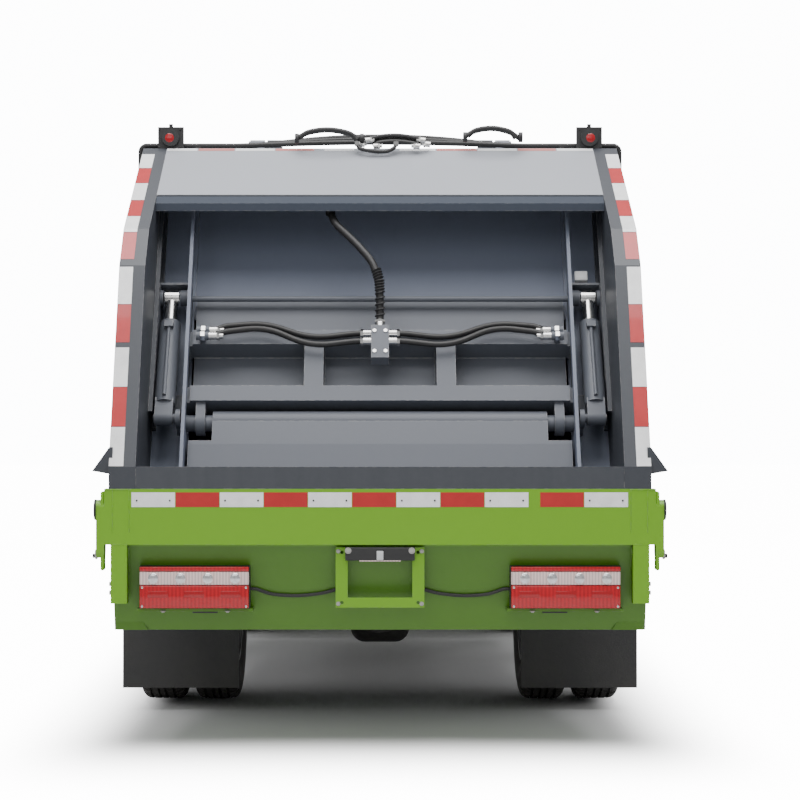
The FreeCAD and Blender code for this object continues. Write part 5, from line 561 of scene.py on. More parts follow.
# A marker lamp is a domed red lens in a black square holder, ringed by a rubber seal.
marker_x, marker_y, marker_high = 0.820, -1.5720, 2.230
shape = bmesh.new()
for side in (-1, 1):
    centre = Vector((marker_x * side, marker_y, marker_high))
    dome(shape, centre, 0.026, 0.42, 28)
    drum(shape, "Y", centre + Vector((0, 0.0035, 0)), 0.031, 0.007, sides=32, soft=0.002, material=1)
    for x in (-0.041, 0.041):
        for z in (-0.034, 0.034):
            drum(shape, "Y", centre + Vector((x, 0.0025, z)), 0.0035, 0.003, sides=12, soft=0.0008,
                 material=1)
settle("marker_lenses", shape, "tailgate", "lamp_lens", deep_red, moulded)

# A folded drip strip closes the roof panel's lower edge from the inside, in the body's dark
# colour, so that no water runs into the hopper.
strip_half = 0.8285
shape = bmesh.new()
block(shape, (-strip_half, -1.9660, 1.9260), (strip_half, -1.9615, 1.9690), soft=0.0015)
settle("drip_strip", shape, "tailgate", "body_paint", hull_paint)

# The tyres are steel-belted road tyres: four grooves run round the tread, the shoulders are cut
# into blocks, and the side walls carry a rubbing rib and a rim guard. The rear pairs are twins.
AXLE_HIGH, FRONT_AXLE, REAR_AXLE = 0.375, 1.62, -1.18
TREAD_STEPS = 120


def tyre_ring(shape, centre_x, centre_y):
    """One tyre: its section from the middle groove to the bead, mirrored, turned and cut."""
    half = [(0.008, 0.375), (0.0095, 0.366), (0.0165, 0.366), (0.018, 0.3748), (0.040, 0.3745),
            (0.0415, 0.3655), (0.0485, 0.3655), (0.050, 0.374), (0.064, 0.3725), (0.074, 0.3670),
            (0.083, 0.3560), (0.0885, 0.340), (0.0915, 0.322), (0.0905, 0.318), (0.0920, 0.314),
            (0.0920, 0.296), (0.0885, 0.270), (0.0850, 0.262), (0.0860, 0.256), (0.0790, 0.236),
            (0.0700, 0.224), (0.0680, 0.2125), (0.040, 0.2125)]
    outline = [(-x, r) for x, r in reversed(half)] + half
    line = [shape.verts.new((centre_x + x, centre_y, AXLE_HIGH + r)) for x, r in outline]
    edges = [shape.edges.new(pair) for pair in zip(line, line[1:])]
    edges.append(shape.edges.new((line[-1], line[0])))
    bmesh.ops.spin(shape, geom=line + edges, cent=(centre_x, centre_y, AXLE_HIGH), axis=(1, 0, 0),
                   angle=2 * math.pi, steps=TREAD_STEPS, use_merge=True)
    bmesh.ops.remove_doubles(shape, verts=shape.verts, dist=0.00002)
    bmesh.ops.recalc_face_normals(shape, faces=shape.faces)
    shoulder, tread = [], []
    for face in shape.faces:
        middle = face.calc_center_median()
        across = abs(middle.x - centre_x)
        up, back = middle.z - AXLE_HIGH, middle.y - centre_y
        reach = math.hypot(back, up)
        turn = int((math.atan2(up, back) + math.pi) * TREAD_STEPS / (2 * math.pi))
        outer = middle.x > centre_x
        if 0.05 < across < 0.089 and reach > 0.34 and turn % 3 == (0 if outer else 1):
            shoulder.append(face)
        if 0.0185 < across < 0.0395 and reach > 0.37 and turn % 6 == (2 if outer else 5):
            tread.append(face)
    bmesh.ops.inset_region(shape, faces=shoulder, thickness=0.0012, depth=-0.0065, use_even_offset=True)
    bmesh.ops.inset_region(shape, faces=tread, thickness=0.0060, depth=-0.0050, use_even_offset=True)


for name, body, node, centres, y in (
    ("left_front_tyre", "wheel_fl", "tyre_front_left", (-0.73,), FRONT_AXLE),
    ("right_front_tyre", "wheel_fr", "tyre_front_right", (0.73,), FRONT_AXLE),
    ("left_rear_twins", "wheel_rl", "tyre_rear_left", (-0.8675, -0.6525), REAR_AXLE),
    ("right_rear_twins", "wheel_rr", "tyre_rear_right", (0.8675, 0.6525), REAR_AXLE),
):
    whole = bpy.data.meshes.new(name)
    both_tyres = bmesh.new()
    for x in centres:
        one = bmesh.new()
        tyre_ring(one, x, y)
        one.to_mesh(whole)
        one.free()
        both_tyres.from_mesh(whole)
    bpy.data.meshes.remove(whole)
    tyre = settle(name, both_tyres, body, "tyre", tyre_rubber, round_to=28)
    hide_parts(node)

# The packer's slide leans forward, so its pieces are placed along and across the slide's line.
SLIDE_LEAN, SLIDE_Y, SLIDE_Z = math.radians(29), -2.200, 1.120
SLIDE_TURN = Matrix.Rotation(-SLIDE_LEAN, 4, "X")


def on_slide(x, across, up):
    return Vector((x, SLIDE_Y + across * math.cos(SLIDE_LEAN) + up * math.sin(SLIDE_LEAN),
                   SLIDE_Z - across * math.sin(SLIDE_LEAN) + up * math.cos(SLIDE_LEAN)))


def facing(way, axis="Z"):
    """The turn that points an axis along a way."""
    return way.to_track_quat(axis, "Z" if axis == "X" else "Y").to_matrix().to_4x4()


def ring(shape, sides, radius, matrix, cap=False, material=0):
    """A ring of points; its edges are returned."""
    verts = bmesh.ops.create_circle(shape, cap_ends=cap, segments=sides, radius=radius,
                                    matrix=matrix)["verts"]
    coat_faces(verts, material)
    return list({edge for vert in verts for edge in vert.link_edges})


def skin(shape, first, second, material=0):
    """Faces between two rings."""
    for face in bmesh.ops.bridge_loops(shape, edges=first + second)["faces"]:
        face.material_index = material


def bead(shape, start, end, radius=0.004):
    """A weld bead between two points: a row of overlapping ripples."""
    start, end = Vector(start), Vector(end)
    way = end - start
    steps = max(4, int(way.length / 0.009))
    previous = None
    for i in range(steps + 1):
        fat = radius * (1.0 if i % 2 else 0.74)
        edges = ring(shape, 6, fat, Matrix.Translation(start + way * (i / steps)) @ facing(way))
        if previous:
            skin(shape, previous, edges)
        previous = edges


# Welds run where the carriage's beams meet its panel and uprights, and along the blade's tube.
# They are painted with the rest, a little rougher than the sheet.
weld_paint = sprayed("painted_weld", (0.13, 0.145, 0.17), dust=(0.20, 0.19, 0.18), fade=0.9, dusty=0.3,
                     top=2.4, rub=0.9, shine=0.44, peel=0.001)
beam_low, beam_high, panel_out, upright_in, upright_out, arm_in = 0.126, 0.296, 0.038, 0.205, 0.275, 0.684
shape = bmesh.new()
for up in (beam_low, beam_high):
    for left, right in ((-arm_in, -upright_out), (-upright_in, upright_in), (upright_out, arm_in)):
        bead(shape, on_slide(left, panel_out, up), on_slide(right, panel_out, up))
for x in (-0.277, -0.203, 0.203, 0.277):
    bead(shape, on_slide(x, panel_out, beam_low + 0.002), on_slide(x, panel_out, beam_high - 0.002))
    for up in (beam_low, beam_high):
        bead(shape, on_slide(x, -0.058, up), on_slide(x, 0.034, up))
for side in (-1, 1):
    for up in (beam_low, beam_high, 0.360):
        bead(shape, on_slide(0.699 * side, -0.043, up), on_slide(0.699 * side, 0.043, up))
settle("carriage_welds", shape, "packer", "packer_paint", weld_paint)
shape = bmesh.new()
for left, right in ((-0.596, -0.02), (0.02, 0.596)):
    bead(shape, on_slide(left, -0.0435, -0.019), on_slide(right, -0.0435, -0.019), radius=0.0035)
settle("blade_welds", shape, "blade", "packer_paint", weld_paint)


# Four hoses leave the manifold's sides and end in fittings on the top beam. Each end has a
# swaged steel ferrule with a hexagon, and the manifold is bolted on through its face.
def stub(shape, place, way, radius, length, sides, material=0):
    """A round or hexagonal stub that stands on a place and points along a way."""
    middle = Matrix.Translation(place + way * (length / 2))
    coat_faces(bmesh.ops.create_cone(shape, cap_ends=True, segments=sides, radius1=radius, radius2=radius,
                                     depth=length, matrix=middle @ facing(way))["verts"], material)


def ferrule(shape, tip, way, radius, length, material=0):
    """A ribbed ferrule and its hexagon, from the hose's end outwards."""
    way = Vector(way).normalized()
    ribs = [(0.045 + 0.17 * i, 0.07, 1.27, 20) for i in range(3)]
    for start, long, fat, sides in ((0.0, 0.55, 1.18, 20), (0.55, 0.2, 1.42, 6), (0.75, 0.25, 0.85, 16),
                                    *ribs):
        stub(shape, Vector(tip) + way * (length * start), way, radius * fat, length * long, sides, material)


HOSE_RADIUS, FERRULE_LONG = 0.0115, 0.052
root_x, port_x, nut_x, bolt_x = 0.0325, 0.6220, 0.6450, 0.020
shape = bmesh.new()
for side in (-1, 1):
    for across, root, port in ((-0.0763, 0.333, 0.346), (-0.0986, 0.287, 0.309)):
        ferrule(shape, on_slide(root_x * side, across, root), (side, 0, 0), HOSE_RADIUS, FERRULE_LONG)
        ferrule(shape, on_slide(port_x * side, across, port), (-side, 0, 0), HOSE_RADIUS, FERRULE_LONG)
        drum(shape, "X", on_slide(nut_x * side, across, port), 0.0185, 0.016, sides=6, soft=0.0008)
    for up in (0.236, 0.322):
        bmesh.ops.create_cone(shape, cap_ends=True, segments=6, radius1=0.0075, radius2=0.0075, depth=0.007,
                              matrix=Matrix.Translation(on_slide(bolt_x * side, -0.1143, up)) @ SLIDE_TURN
                              @ Matrix.Rotation(math.pi / 2, 4, "X"))
settle("hose_ferrules", shape, "packer", "chrome_rod", chrome)

# The supply hose is wrapped in a spiral of plastic strip where it could rub on the hopper.
# A long chrome ferrule joins it to the manifold's top.
turns, turn_steps, strip_reach, strip_half_wide = 13, 12, 0.0158, 0.0042
shape = bmesh.new()
run = [Vector(place) for place in ((0, -2.0864, 1.512), (0, -2.0860, 1.600), (-0.0030, -2.0790, 1.6450),
                                   (-0.0150, -2.0640, 1.6870))]
previous = None
for i in range(turns * turn_steps + 1):
    share = i / (turns * turn_steps) * (len(run) - 1)
    first = min(int(share), len(run) - 2)
    way = (run[first + 1] - run[first]).normalized()
    centre = run[first].lerp(run[first + 1], share - first)
    side_way = way.cross(Vector((0, 1, 0))).normalized()
    angle = 2 * math.pi * i / turn_steps
    spoke = side_way * math.cos(angle) + way.cross(side_way) * math.sin(angle)
    turn = Matrix.Translation(centre + spoke * strip_reach) @ facing(spoke, "X")
    edges = ring(shape, 4, strip_half_wide, turn @ Matrix.Rotation(math.pi / 2, 4, "X"))
    if previous:
        skin(shape, previous, edges)
    previous = edges
settle("hose_spiral", shape, "packer", "hose_rubber", moulded)
shape = bmesh.new()
ferrule(shape, (0, -2.1074, 1.4665), (0, 0.4848, 0.8746), 0.0150, 0.040)
settle("supply_ferrule", shape, "packer", "chrome_rod", chrome)

# A small junction box of light alloy stands on the right arm's cap, where the cables of the
# packer's switches meet.
shape = bmesh.new()
block(shape, (0.7260, -0.012, -0.020), (0.7740, 0.012, 0.020), soft=0.003)
bmesh.ops.transform(shape, matrix=Matrix.Translation(on_slide(0, -0.020, 0.6130)) @ SLIDE_TURN,
                    verts=shape.verts)
settle("junction_box", shape, "packer", "packer_paint", tank_skin)


# Hexagon bolts with washers hold the frame's side posts and the lamps' brackets. Each end of
# the frame carries an ear plate with a black rubber cap over its pin.
def bolt(shape, place, way, across=0.013, material=0):
    """A hexagon bolt head on a washer, facing a way."""
    place, way = Vector(place), Vector(way).normalized()
    washer = 0.0022
    stub(shape, place, way, across * 0.92, washer, 18, material)
    stub(shape, place + way * washer, way, across * 0.577, across * 0.42, 6, material)


zinc = sprayed("zinc_plated_bolts", (0.42, 0.42, 0.41), dust=(0.20, 0.15, 0.10), fade=0.4, dusty=0.4, top=2.4,
               rub=0.4, edge=0.0008, shine=0.32)
BACK = (0, -1, 0)
post_out, lamp_foot = 0.9155, 0.4830
shape = bmesh.new()
for side in (-1, 1):
    for z in (0.575, 0.545):
        bolt(shape, (post_out * side, -2.620, z), (side, 0, 0), across=0.013)
    for x in (0.520, 0.740):
        bolt(shape, (x * side, -2.6160, lamp_foot), (0, 0, -1), across=0.010)
settle("frame_bolts", shape, "tailgate", "chassis_paint", zinc)

ear_in, ear_out, pin_y, fold_half = 0.9375, 0.9500, -2.624, 0.0015
shape = bmesh.new()
for side in (-1, 1):
    side_block(shape, side, (ear_in, -2.6495, 0.622), (ear_out, -2.5985, 0.891), soft=0.006, steps=3)
    for z in (0.843, 0.676):
        drum(shape, "X", (0.9665 * side, pin_y, z), 0.017, 0.008, soft=0.002, material=1)
    for x in (0.852, 0.9085):
        side_block(shape, side, (x - fold_half, -2.6515, 0.752), (x + fold_half, -2.6480, 0.898), soft=0.0008)
    side_block(shape, side, (0.847, -2.6520, 0.8945), (0.937, -2.6480, 0.8985), soft=0.001)
    drum(shape, "X", (0.9690 * side, pin_y, 0.8280), 0.0355, 0.0075, sides=32, soft=0.0025, material=2)
    drum(shape, "X", (0.9690 * side, pin_y, 0.6710), 0.0075, 0.020, sides=16, soft=0.0015, material=2)
settle("ear_plates", shape, "tailgate", "green_paint", frame_green, zinc, moulded)

# Welds join the posts and the sloping panel to the beam, and the bracket's arms to the panel.
# The frame was painted after welding, so the beads are green too.
shape = bmesh.new()
for side in (-1, 1):
    for start, end in (((0.8605, -2.6480, 0.7110), (0.9145, -2.6480, 0.7110)),
                       ((0.9160, -2.6480, 0.7115), (0.9160, -2.5930, 0.7115)),
                       ((0.3000, -2.6150, 0.7095), (0.4350, -2.6150, 0.7095)),
                       ((0.8590, -2.6180, 0.7000), (0.8590, -2.5900, 0.6150))):
        bead(shape, (start[0] * side, *start[1:]), (end[0] * side, *end[1:]), radius=0.0035)
settle("frame_welds", shape, "tailgate", "green_paint", frame_green)

# The bare bracket waits for a plate: its rim is folded, and two bolts and a stem hold the
# black lamp above it, whose small clear window shines downwards.
stem_half, window_half = 0.0115, 0.0700
shape = bmesh.new()
for x in (-0.108, 0.108):
    bolt(shape, (x, -2.6495, 0.6900), BACK, across=0.012)
block(shape, (-stem_half, -2.6535, 0.6575), (stem_half, -2.6480, 0.6890), soft=0.002, material=1)
block(shape, (-window_half, -2.6470, 0.6530), (window_half, -2.6360, 0.6570), soft=0.001, material=2)
for x in (-0.142, 0.142):
    for z in (0.508, 0.687):
        bolt(shape, (x, -2.6320, z), BACK, across=0.008)
settle("plate_lamp_details", shape, "tailgate", "black_plastic", zinc, tank_skin, clear_lens)

# Each mudflap hangs from a folded strip of black steel. Six bolts with washers go through the
# strip and the rubber.
flap_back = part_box("rear_mudguards")[0][1] - 0.0002
flap_in, flap_out, strip_high = 0.560, 0.990, 0.498
shape = bmesh.new()
for side in (-1, 1):
    for i in range(6):
        x = flap_in + (flap_out - flap_in) * (i + 0.5) / 6
        bolt(shape, (x * side, flap_back, strip_high), BACK, across=0.012)
settle("flap_bolts", shape, "chassis", "chassis_paint", zinc)


# The driver's seat and the double bench are foam under woven cloth, sewn with channels and piping.
# Each pad is blown up like the real foam under its cover, and stands on the cab's platform.
def woven_cloth():
    """Dark woven cloth: warp across weft, a little worn in patches."""
    finish, tree, shader = shader_of("woven_seat_cloth")
    here = place_in(tree)
    warp, weft, depth_weft = (put(tree, "TexWave", {"bands_direction": way}, Vector=here, Scale=160.0,
                                  Distortion=1.5).outputs["Fac"] for way in "XZY")
    weave = reckon(tree, "MULTIPLY", warp, reckon(tree, "MAXIMUM", weft, depth_weft))
    shade = reckon(tree, "MULTIPLY_ADD", weave, 0.45, noise(tree, here, 7.0, 4.0), clamp=True)
    bump = put(tree, "Bump", Strength=0.5, Distance=0.0008, Height=weave).outputs["Normal"]
    wire(tree, shader, Base_Color=blend(tree, shade, (0.016, 0.018, 0.024), (0.085, 0.092, 0.105)),
         Normal=bump, Roughness=0.9, Sheen_Weight=0.35)
    return finish


def blown_pad(low, high, cap=0.016):
    """A pad's outer mesh: a soft block, remeshed and blown up by cloth pressure, kept within a cap."""
    start = bmesh.new()
    inset = Vector((cap, cap, cap)) * 0.8
    block(start, Vector(low) + inset, Vector(high) - inset, soft=0.024, steps=3)
    data = bpy.data.meshes.new("pad")
    start.to_mesh(data)
    start.free()
    pad = bpy.data.objects.new("pad", data)
    bpy.context.collection.objects.link(pad)
    remesh = pad.modifiers.new("even_mesh", "REMESH")
    remesh.mode = "VOXEL"
    remesh.voxel_size = 0.02
    even = bpy.data.meshes.new_from_object(pad.evaluated_get(bpy.context.evaluated_depsgraph_get()))
    pad.modifiers.clear()
    pad.data = even
    rest = [vert.co.copy() for vert in even.vertices]
    cloth = pad.modifiers.new("foam_pressure", "CLOTH")
    cloth.settings.quality = 4
    cloth.settings.use_pressure = True
    cloth.settings.uniform_pressure_force = 4
    cloth.settings.effector_weights.gravity = 0
    for frame_number in range(1, 21):
        bpy.context.scene.frame_set(frame_number)
    blown = bpy.data.meshes.new_from_object(pad.evaluated_get(bpy.context.evaluated_depsgraph_get()))
    pad.modifiers.clear()
    for vert, place in zip(even.vertices, rest):
        way = blown.vertices[vert.index].co - place
        vert.co = place + way * min(1.0, cap / max(way.length, 1e-6))
    bpy.data.meshes.remove(blown)
    bpy.context.scene.frame_set(1)
    finer = pad.modifiers.new("finer", "SUBSURF")
    finer.levels = 1
    shape = bmesh.new()
    shape.from_object(pad, bpy.context.evaluated_depsgraph_get())
    bpy.data.objects.remove(pad)
    bpy.data.meshes.remove(even)
    bpy.data.meshes.remove(data)
    return shape


def channel(shape, axis, places, depth=0.006, width=0.009):
    """Sewn channels across a pad: points near each seam line are drawn inwards."""
    middle = sum((vert.co for vert in shape.verts), Vector()) / len(shape.verts)
    for vert in shape.verts:
        pull = sum(math.exp(-(((vert.co[axis] - place) / width) ** 2)) for place in places)
        inward = middle - vert.co
        inward[axis] = 0
        if pull > 0.02 and inward.length > 1e-6:
            vert.co += inward.normalized() * depth * min(1.0, pull)


cushion_foot, seam_in = 0.9705, 0.11
rest_half, post_x, post_y, post_high = 0.129, 0.05, 1.185, 1.535
whole = bmesh.new()
spare = bpy.data.meshes.new("pads")
for middle, width in ((-0.400, 0.500), (0.280, 0.860)):
    left, right = middle - width / 2, middle + width / 2
    seams = (left + seam_in, right - seam_in)
    for low, high, axis, places in (
        ((left, 1.241, cushion_foot), (right, 1.709, 1.099), 0, seams),
        ((left, 1.131, cushion_foot), (right, 1.239, 1.529), 0, seams),
        ((middle - rest_half, 1.140, 1.545), (middle + rest_half, 1.230, 1.699), 2, (1.622,)),
    ):
        shape = blown_pad(low, high)
        channel(shape, axis, places)
        shape.to_mesh(spare)
        shape.free()
        whole.from_mesh(spare)
    for post in (middle - post_x, middle + post_x):
        drum(whole, "Z", (post, post_y, post_high), 0.006, 0.050, sides=12, material=1)
bpy.data.meshes.remove(spare)
seats = settle("padded_seats", whole, "cab", "seat_fabric", woven_cloth(), chrome, round_to=70)
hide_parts("seats")

# Ten nuts hold each wheel's disc, on studs that stand through them.
# Rear discs sit deep in the outer rim, front discs stand near its face.
nut_circle, stud_out = 0.0925, 0.015
for name, body, x, y in (
    ("left_front", "wheel_fl", -0.780, FRONT_AXLE),
    ("right_front", "wheel_fr", 0.780, FRONT_AXLE),
    ("left_rear", "wheel_rl", -0.8295, REAR_AXLE),
    ("right_rear", "wheel_rr", 0.8295, REAR_AXLE),
):
    way = 1 if x > 0 else -1
    shape = bmesh.new()
    for i in range(10):
        angle = 2 * math.pi * (i + 0.5) / 10
        place = Vector((x, y + nut_circle * math.cos(angle), AXLE_HIGH + nut_circle * math.sin(angle)))
        bolt(shape, place, (way, 0, 0), across=0.020)
        drum(shape, "X", place + Vector((way * stud_out, 0, 0)), 0.0050, 0.012, sides=12, soft=0.0008)
    settle(f"{name}_nuts", shape, body, "rim_paint", zinc)


# Rubber seals run round the glass: black mouldings pressed over the edge of each opening.
# They are laid along the glass's own outline, rounded at its corners.
def trim(shape, corners, out, width=0.022, high=0.006, round_by=0.04, material=0):
    """A closed moulding of an oval section along an outline with rounded corners."""
    corners = [Vector(corner) for corner in corners]
    out = Vector(out).normalized()
    path = []
    for i, corner in enumerate(corners):
        before = (corners[i - 1] - corner).normalized() * round_by
        after = (corners[(i + 1) % len(corners)] - corner).normalized() * round_by
        for step in range(6):
            share = step / 5
            path.append(corner + before * (1 - share) ** 2 + after * share ** 2)
    rings = []
    for i, place in enumerate(path):
        along = (path[(i + 1) % len(path)] - path[i - 1]).normalized()
        turn = Matrix((along.cross(out).normalized(), out, along)).transposed().to_4x4()
        section = Matrix.Diagonal((width / 2, high, 1, 1))
        rings.append(ring(shape, 8, 1, Matrix.Translation(place) @ turn @ section))
    for i, edges in enumerate(rings):
        skin(shape, rings[i - 1], edges, material)


SCREEN_UP, SCREEN_BACK = 0.9322, 0.3618
SCREEN_FOOT = (2.520, 1.300)
SCREEN_OUT = (0, SCREEN_UP, SCREEN_BACK)


def on_screen(x, up, out=0.0):
    """A place on the windscreen's slope: across, up the slope from the waist, and off the glass."""
    return Vector((x, SCREEN_FOOT[0] - SCREEN_BACK * up + SCREEN_UP * out,
                   SCREEN_FOOT[1] + SCREEN_UP * up + SCREEN_BACK * out))


screen_half, window_half, window_y = 0.780, 0.420, 1.089
shape = bmesh.new()
trim(shape, [on_screen(x, up) for x, up in ((-screen_half, 0.043), (screen_half, 0.043), (screen_half, 0.682),
                                            (-screen_half, 0.682))], SCREEN_OUT)
trim(shape, [(x, window_y, z) for x, z in ((-window_half, 1.480), (window_half, 1.480), (window_half, 1.860),
                                           (-window_half, 1.860))], (0, -1, 0))
settle("screen_seals", shape, "cab", "black_plastic", moulded)


# Two wipers lie parked at the foot of the windscreen: pressed arms with a spring, thin blades.
def bar(shape, first, last, high, wide, soft=0.0):
    """A flat bar between two points."""
    way = last - first
    turn = Matrix.Translation((first + last) / 2) @ way.to_track_quat("X", "Y").to_matrix().to_4x4()
    size = Matrix.Diagonal((way.length, high, wide, 1))
    verts = bmesh.ops.create_cube(shape, size=1, matrix=turn @ size)["verts"]
    if soft:
        ease(shape, coat_faces(verts, 0), soft)


ARM_OFF, BLADE_OFF = 0.018, 0.008
shape = bmesh.new()
for x in (-0.56, 0.10):
    drum(shape, "Y", on_screen(x, 0.002, 0.012), 0.016, 0.022, sides=20, soft=0.003)
    for start, end, wide in (((x, 0.004), (x + 0.20, 0.072), 0.007),
                             ((x + 0.18, 0.065), (x + 0.34, 0.086), 0.0045)):
        bar(shape, on_screen(*start, ARM_OFF), on_screen(*end, ARM_OFF), 0.006, wide * 2, soft=0.0015)
    for high, wide in ((0.010, 0.003), (0.004, 0.009)):
        bar(shape, on_screen(x + 0.05, 0.070, BLADE_OFF), on_screen(x + 0.60, 0.118, BLADE_OFF), high, wide)
settle("wipers", shape, "cab", "black_plastic", moulded)

# The head lamps sit in chromed bezels beside amber indicators; round fog lamps fill the bumper's
# pockets, and a woven mesh closes the grille behind its slats.
amber = lens_finish("amber_lens", (0.85, 0.28, 0.02), 34.0)
clear_ring = lens_finish("fog_lamp_lens", (0.70, 0.72, 0.74), 46.0)
head_y, head_z, fog_x, fog_z = 2.6145, 0.865, 0.640, 0.480
shape = bmesh.new()
for side in (-1, 1):
    corners = [(x * side, head_y, z) for x, z in ((0.506, 0.796), (0.814, 0.796), (0.814, 0.934),
                                                  (0.506, 0.934))]
    trim(shape, corners, (0, 1, 0), width=0.010, high=0.005, round_by=0.026)
    for x in (0.580, 0.735):
        for y, radius, colour in ((head_y + 0.0005, 0.052, 0), (head_y + 0.0020, 0.044, 2)):
            drum(shape, "Y", (x * side, y, head_z), radius, 0.003, sides=32, soft=0.001, material=colour)
    side_block(shape, side, (0.8190, 2.5902, 0.800), (0.8480, 2.6060, 0.930), soft=0.004, material=1)
settle("lamp_bezels", shape, "cab", "head_lens", chrome, amber, clear_ring)
shape = bmesh.new()
for side in (-1, 1):
    for y, radius, length, colour in ((2.6320, 0.036, 0.014, 0), (2.6375, 0.030, 0.010, 1)):
        drum(shape, "Y", (fog_x * side, y, fog_z), radius, length, sides=32, soft=0.003, material=colour)
    side_block(shape, side, (0.690, 2.6245, 0.450), (0.722, 2.6340, 0.510), soft=0.003, material=2)
settle("fog_lamps", shape, "chassis", "head_lens", moulded, clear_ring, amber)
mesh_half, wire_half = 0.405, 0.0016
shape = bmesh.new()
for i in range(54):
    x = -mesh_half + 2 * mesh_half * i / 53
    block(shape, (x - wire_half, 2.5904, 0.796), (x + wire_half, 2.5930, 0.944))
for i in range(9):
    z = 0.801 + 0.138 * i / 8
    block(shape, (-mesh_half - 0.003, 2.5910, z - wire_half), (mesh_half + 0.003, 2.5938, z + wire_half))
settle("grille_mesh", shape, "cab", "black_plastic", moulded)

# Mirror heads hold a silvered glass that faces back, in a black rubber rim.
# The arms are bolted to the door post through a rubber foot.
silvered, tree, shader = shader_of("silvered_mirror")
smudge = ramp(tree, noise(tree, place_in(tree), 9.0, 3.0), 0.4, 0.8, 0.02, 0.10)
wire(tree, shader, Roughness=smudge, Base_Color=(0.86, 0.88, 0.89, 1), Metallic=1.0)
mirror_in, mirror_out, mirror_y, rim_y, foot_x, foot_y = 0.922, 1.048, 2.4670, 2.4698, 0.8845, 2.520
shape = bmesh.new()
for side in (-1, 1):
    side_block(shape, side, (mirror_in, mirror_y, 1.3120), (mirror_out, mirror_y + 0.0035, 1.6080),
               soft=0.0015)
    left, right = sorted((mirror_in * side, mirror_out * side))
    corners = [(x, rim_y, z) for x, z in ((left, 1.310), (right, 1.310), (right, 1.610), (left, 1.610))]
    trim(shape, corners, (0, -1, 0), width=0.009, high=0.005, round_by=0.012, material=1)
    for z in (1.140, 1.250):
        drum(shape, "X", (foot_x * side, foot_y, z), 0.026, 0.008, soft=0.002, material=1)
settle("mirror_glasses", shape, "cab", "black_plastic", silvered, moulded)

# Each door has a chromed lock beside its handle. A rubber strip along the window's sill wipes
# the glass as it goes down.
for side, body in ((-1, "door_l"), (1, "door_r")):
    shape = bmesh.new()
    drum(shape, "X", (0.8815 * side, 1.700, 1.120), 0.010, 0.004, sides=20, soft=0.001)
    side_block(shape, side, (0.8805, 1.530, 1.3220), (0.8870, 2.360, 1.3380), soft=0.0025, material=1)
    settle(f"{body}_fittings", shape, body, "black_plastic", chrome, moulded)

# The dashboard carries two dials in chromed rings, a row of blank switches and slatted air
# vents, all pressed into its moulded front.
dial_face = lens_finish("dial_glass", (0.05, 0.05, 0.055), 50.0)
dial_z, board_y, switch_half, vent_half = 1.190, 2.2200, 0.018, 0.055
shape = bmesh.new()
for x in (-0.475, -0.325):
    drum(shape, "Y", (x, board_y - 0.0015, dial_z), 0.050, 0.004, sides=32, soft=0.001)
    drum(shape, "Y", (x, board_y - 0.0035, dial_z), 0.044, 0.003, sides=32, material=1)
for i in range(8):
    x = -0.16 + 0.055 * i
    block(shape, (x - switch_half, board_y - 0.007, 1.160), (x + switch_half, board_y, 1.195), soft=0.002,
          material=2)
for x in (-0.72, 0.42, 0.70):
    for i in range(5):
        z = 1.165 + 0.012 * i
        block(shape, (x - vent_half, board_y - 0.006, z), (x + vent_half, board_y, z + 0.004), material=2)
settle("dashboard_details", shape, "cab", "black_plastic", chrome, dial_face, moulded)

# The container's ribs are held by short weld runs, painted over with the sheet.
# Three amber lamps on black rubber feet mark each lower edge.
first_rib, rib_span, weld_x, weld_long = -1.150, 2.030, 0.8435, 0.05
shape = bmesh.new()
for side in (-1, 1):
    for i in range(5):
        start = first_rib + rib_span * i / 4
        for y in (start - 0.0015, start + 0.0715):
            if -1.14 < y < 0.945:
                for step in range(6):
                    z = 0.87 + 0.23 * step
                    bead(shape, (weld_x * side, y, z), (weld_x * side, y, z + weld_long), radius=0.0035)
settle("rib_welds", shape, "chassis", "body_paint", hull_paint)
shape = bmesh.new()
for side in (-1, 1):
    for y in (-0.85, 0.15, 0.78):
        side_block(shape, side, (0.8425, y - 0.055, 0.822), (0.8520, y + 0.055, 0.852), soft=0.003)
        side_block(shape, side, (0.8500, y - 0.045, 0.827), (0.8555, y + 0.045, 0.847), soft=0.002,
                   material=1)
settle("side_marker_lamps", shape, "chassis", "lamp_lens", moulded, amber)


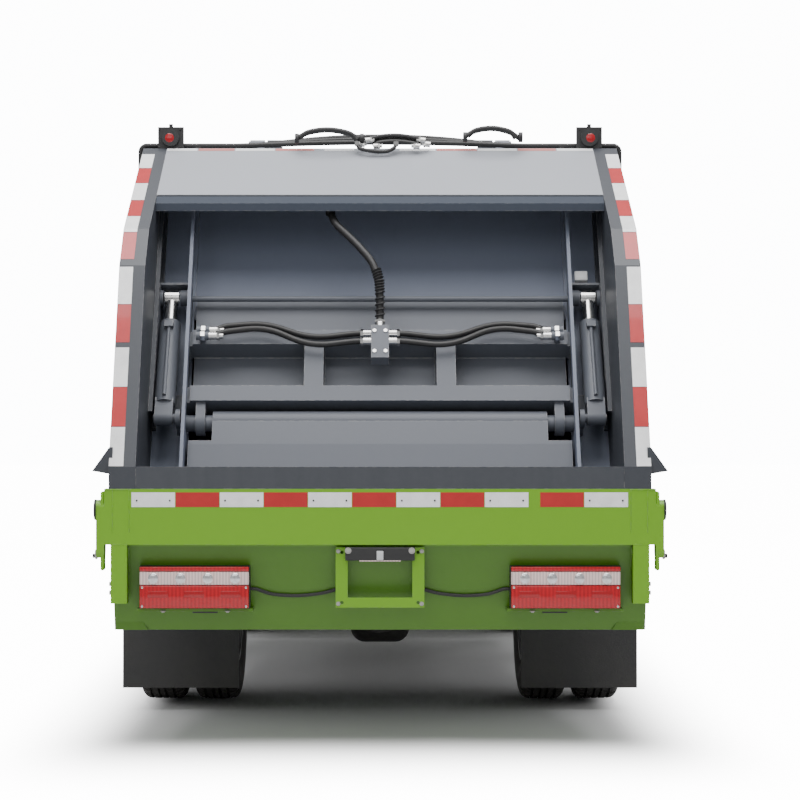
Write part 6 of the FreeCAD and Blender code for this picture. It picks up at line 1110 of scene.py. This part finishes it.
# Where the roof's pipes cross the middle they turn into short hoses with swaged ends, clamped
# together; one spare length of hose droops in a loop over the silver panel.
def hose(shape, points, radius, sides=12, steps=7):
    """A smooth round hose through points, closed at its ends."""
    points = [Vector(point) for point in points]
    ends = [points[0] * 2 - points[1], *points, points[-1] * 2 - points[-2]]
    line = []
    for i in range(1, len(ends) - 2):
        a, b, c, d = ends[i - 1:i + 3]
        for step in range(steps):
            t = step / steps
            line.append(0.5 * ((2 * b) + (c - a) * t + (2 * a - 5 * b + 4 * c - d) * t * t
                               + (3 * b - a - 3 * c + d) * t ** 3))
    line.append(points[-1])
    upright = Vector((0.31, 0.95, 0.05))
    previous = None
    for i, place in enumerate(line):
        along = (line[min(i + 1, len(line) - 1)] - line[max(i - 1, 0)]).normalized()
        across = along.cross(upright).normalized()
        upright = across.cross(along).normalized()
        turn = Matrix((across, upright, along)).transposed().to_4x4()
        edges = ring(shape, sides, radius, Matrix.Translation(place) @ turn, cap=i in (0, len(line) - 1))
        if previous:
            skin(shape, previous, edges)
        previous = edges


loop_left, loop_right, loop_y = -0.088, 0.062, -1.630
shape = bmesh.new()
for i, (y, z) in enumerate(((-1.606, 2.200), (-1.618, 2.214), (-1.626, 2.190))):
    left, right = -0.086 + 0.03 * i, 0.195 - 0.02 * i
    hose(shape, ((left, y, z), (0.00, y, z + 0.016), (0.07, y, z + 0.020), (0.14, y, z + 0.010),
                 (right, y, z)), 0.0085)
    for x, way in ((left, 1), (right, -1)):
        ferrule(shape, (x, y, z), (way, 0, 0.12), 0.0095, 0.034, material=1)
hose(shape, ((loop_left, -1.632, 2.196), (-0.075, -1.640, 2.180), (-0.030, -1.648, 2.170),
             (0.020, -1.648, 2.168), (0.050, -1.640, 2.180), (loop_right, loop_y, 2.196)), 0.0075)
for x in (loop_left, loop_right):
    drum(shape, "Z", (x, loop_y, 2.200), 0.011, 0.018, sides=6, soft=0.0008, material=1)
settle("roof_hoses", shape, "tailgate", "hose_rubber", hose_rubber, chrome)

# Two more pairs of hoses hump over the roof's edge on either side of that cluster, each pair
# held by a round rubber clamp at both its ends.
hump_y, hump_pitch = -1.604, 0.021
shape = bmesh.new()
for left, right, top in ((-0.322, -0.070, 2.256), (0.330, 0.545, 2.262)):
    wide = right - left
    for i in range(2):
        y = hump_y - hump_pitch * i
        rise = ((left + wide * 0.2, y, top - 0.008), (left + wide * 0.5, y, top),
                (left + wide * 0.8, y, top - 0.014))
        hose(shape, ((left + 0.01 * i, y, top - 0.030), *rise, (right - 0.02 * i, y, top - 0.040)), 0.0100)
    for x in (left, right):
        drum(shape, "X", (x, hump_y - 0.010, top - 0.034), 0.020, 0.016, sides=16, soft=0.002, material=1)
settle("roof_hose_humps", shape, "tailgate", "hose_rubber", hose_rubber, moulded)
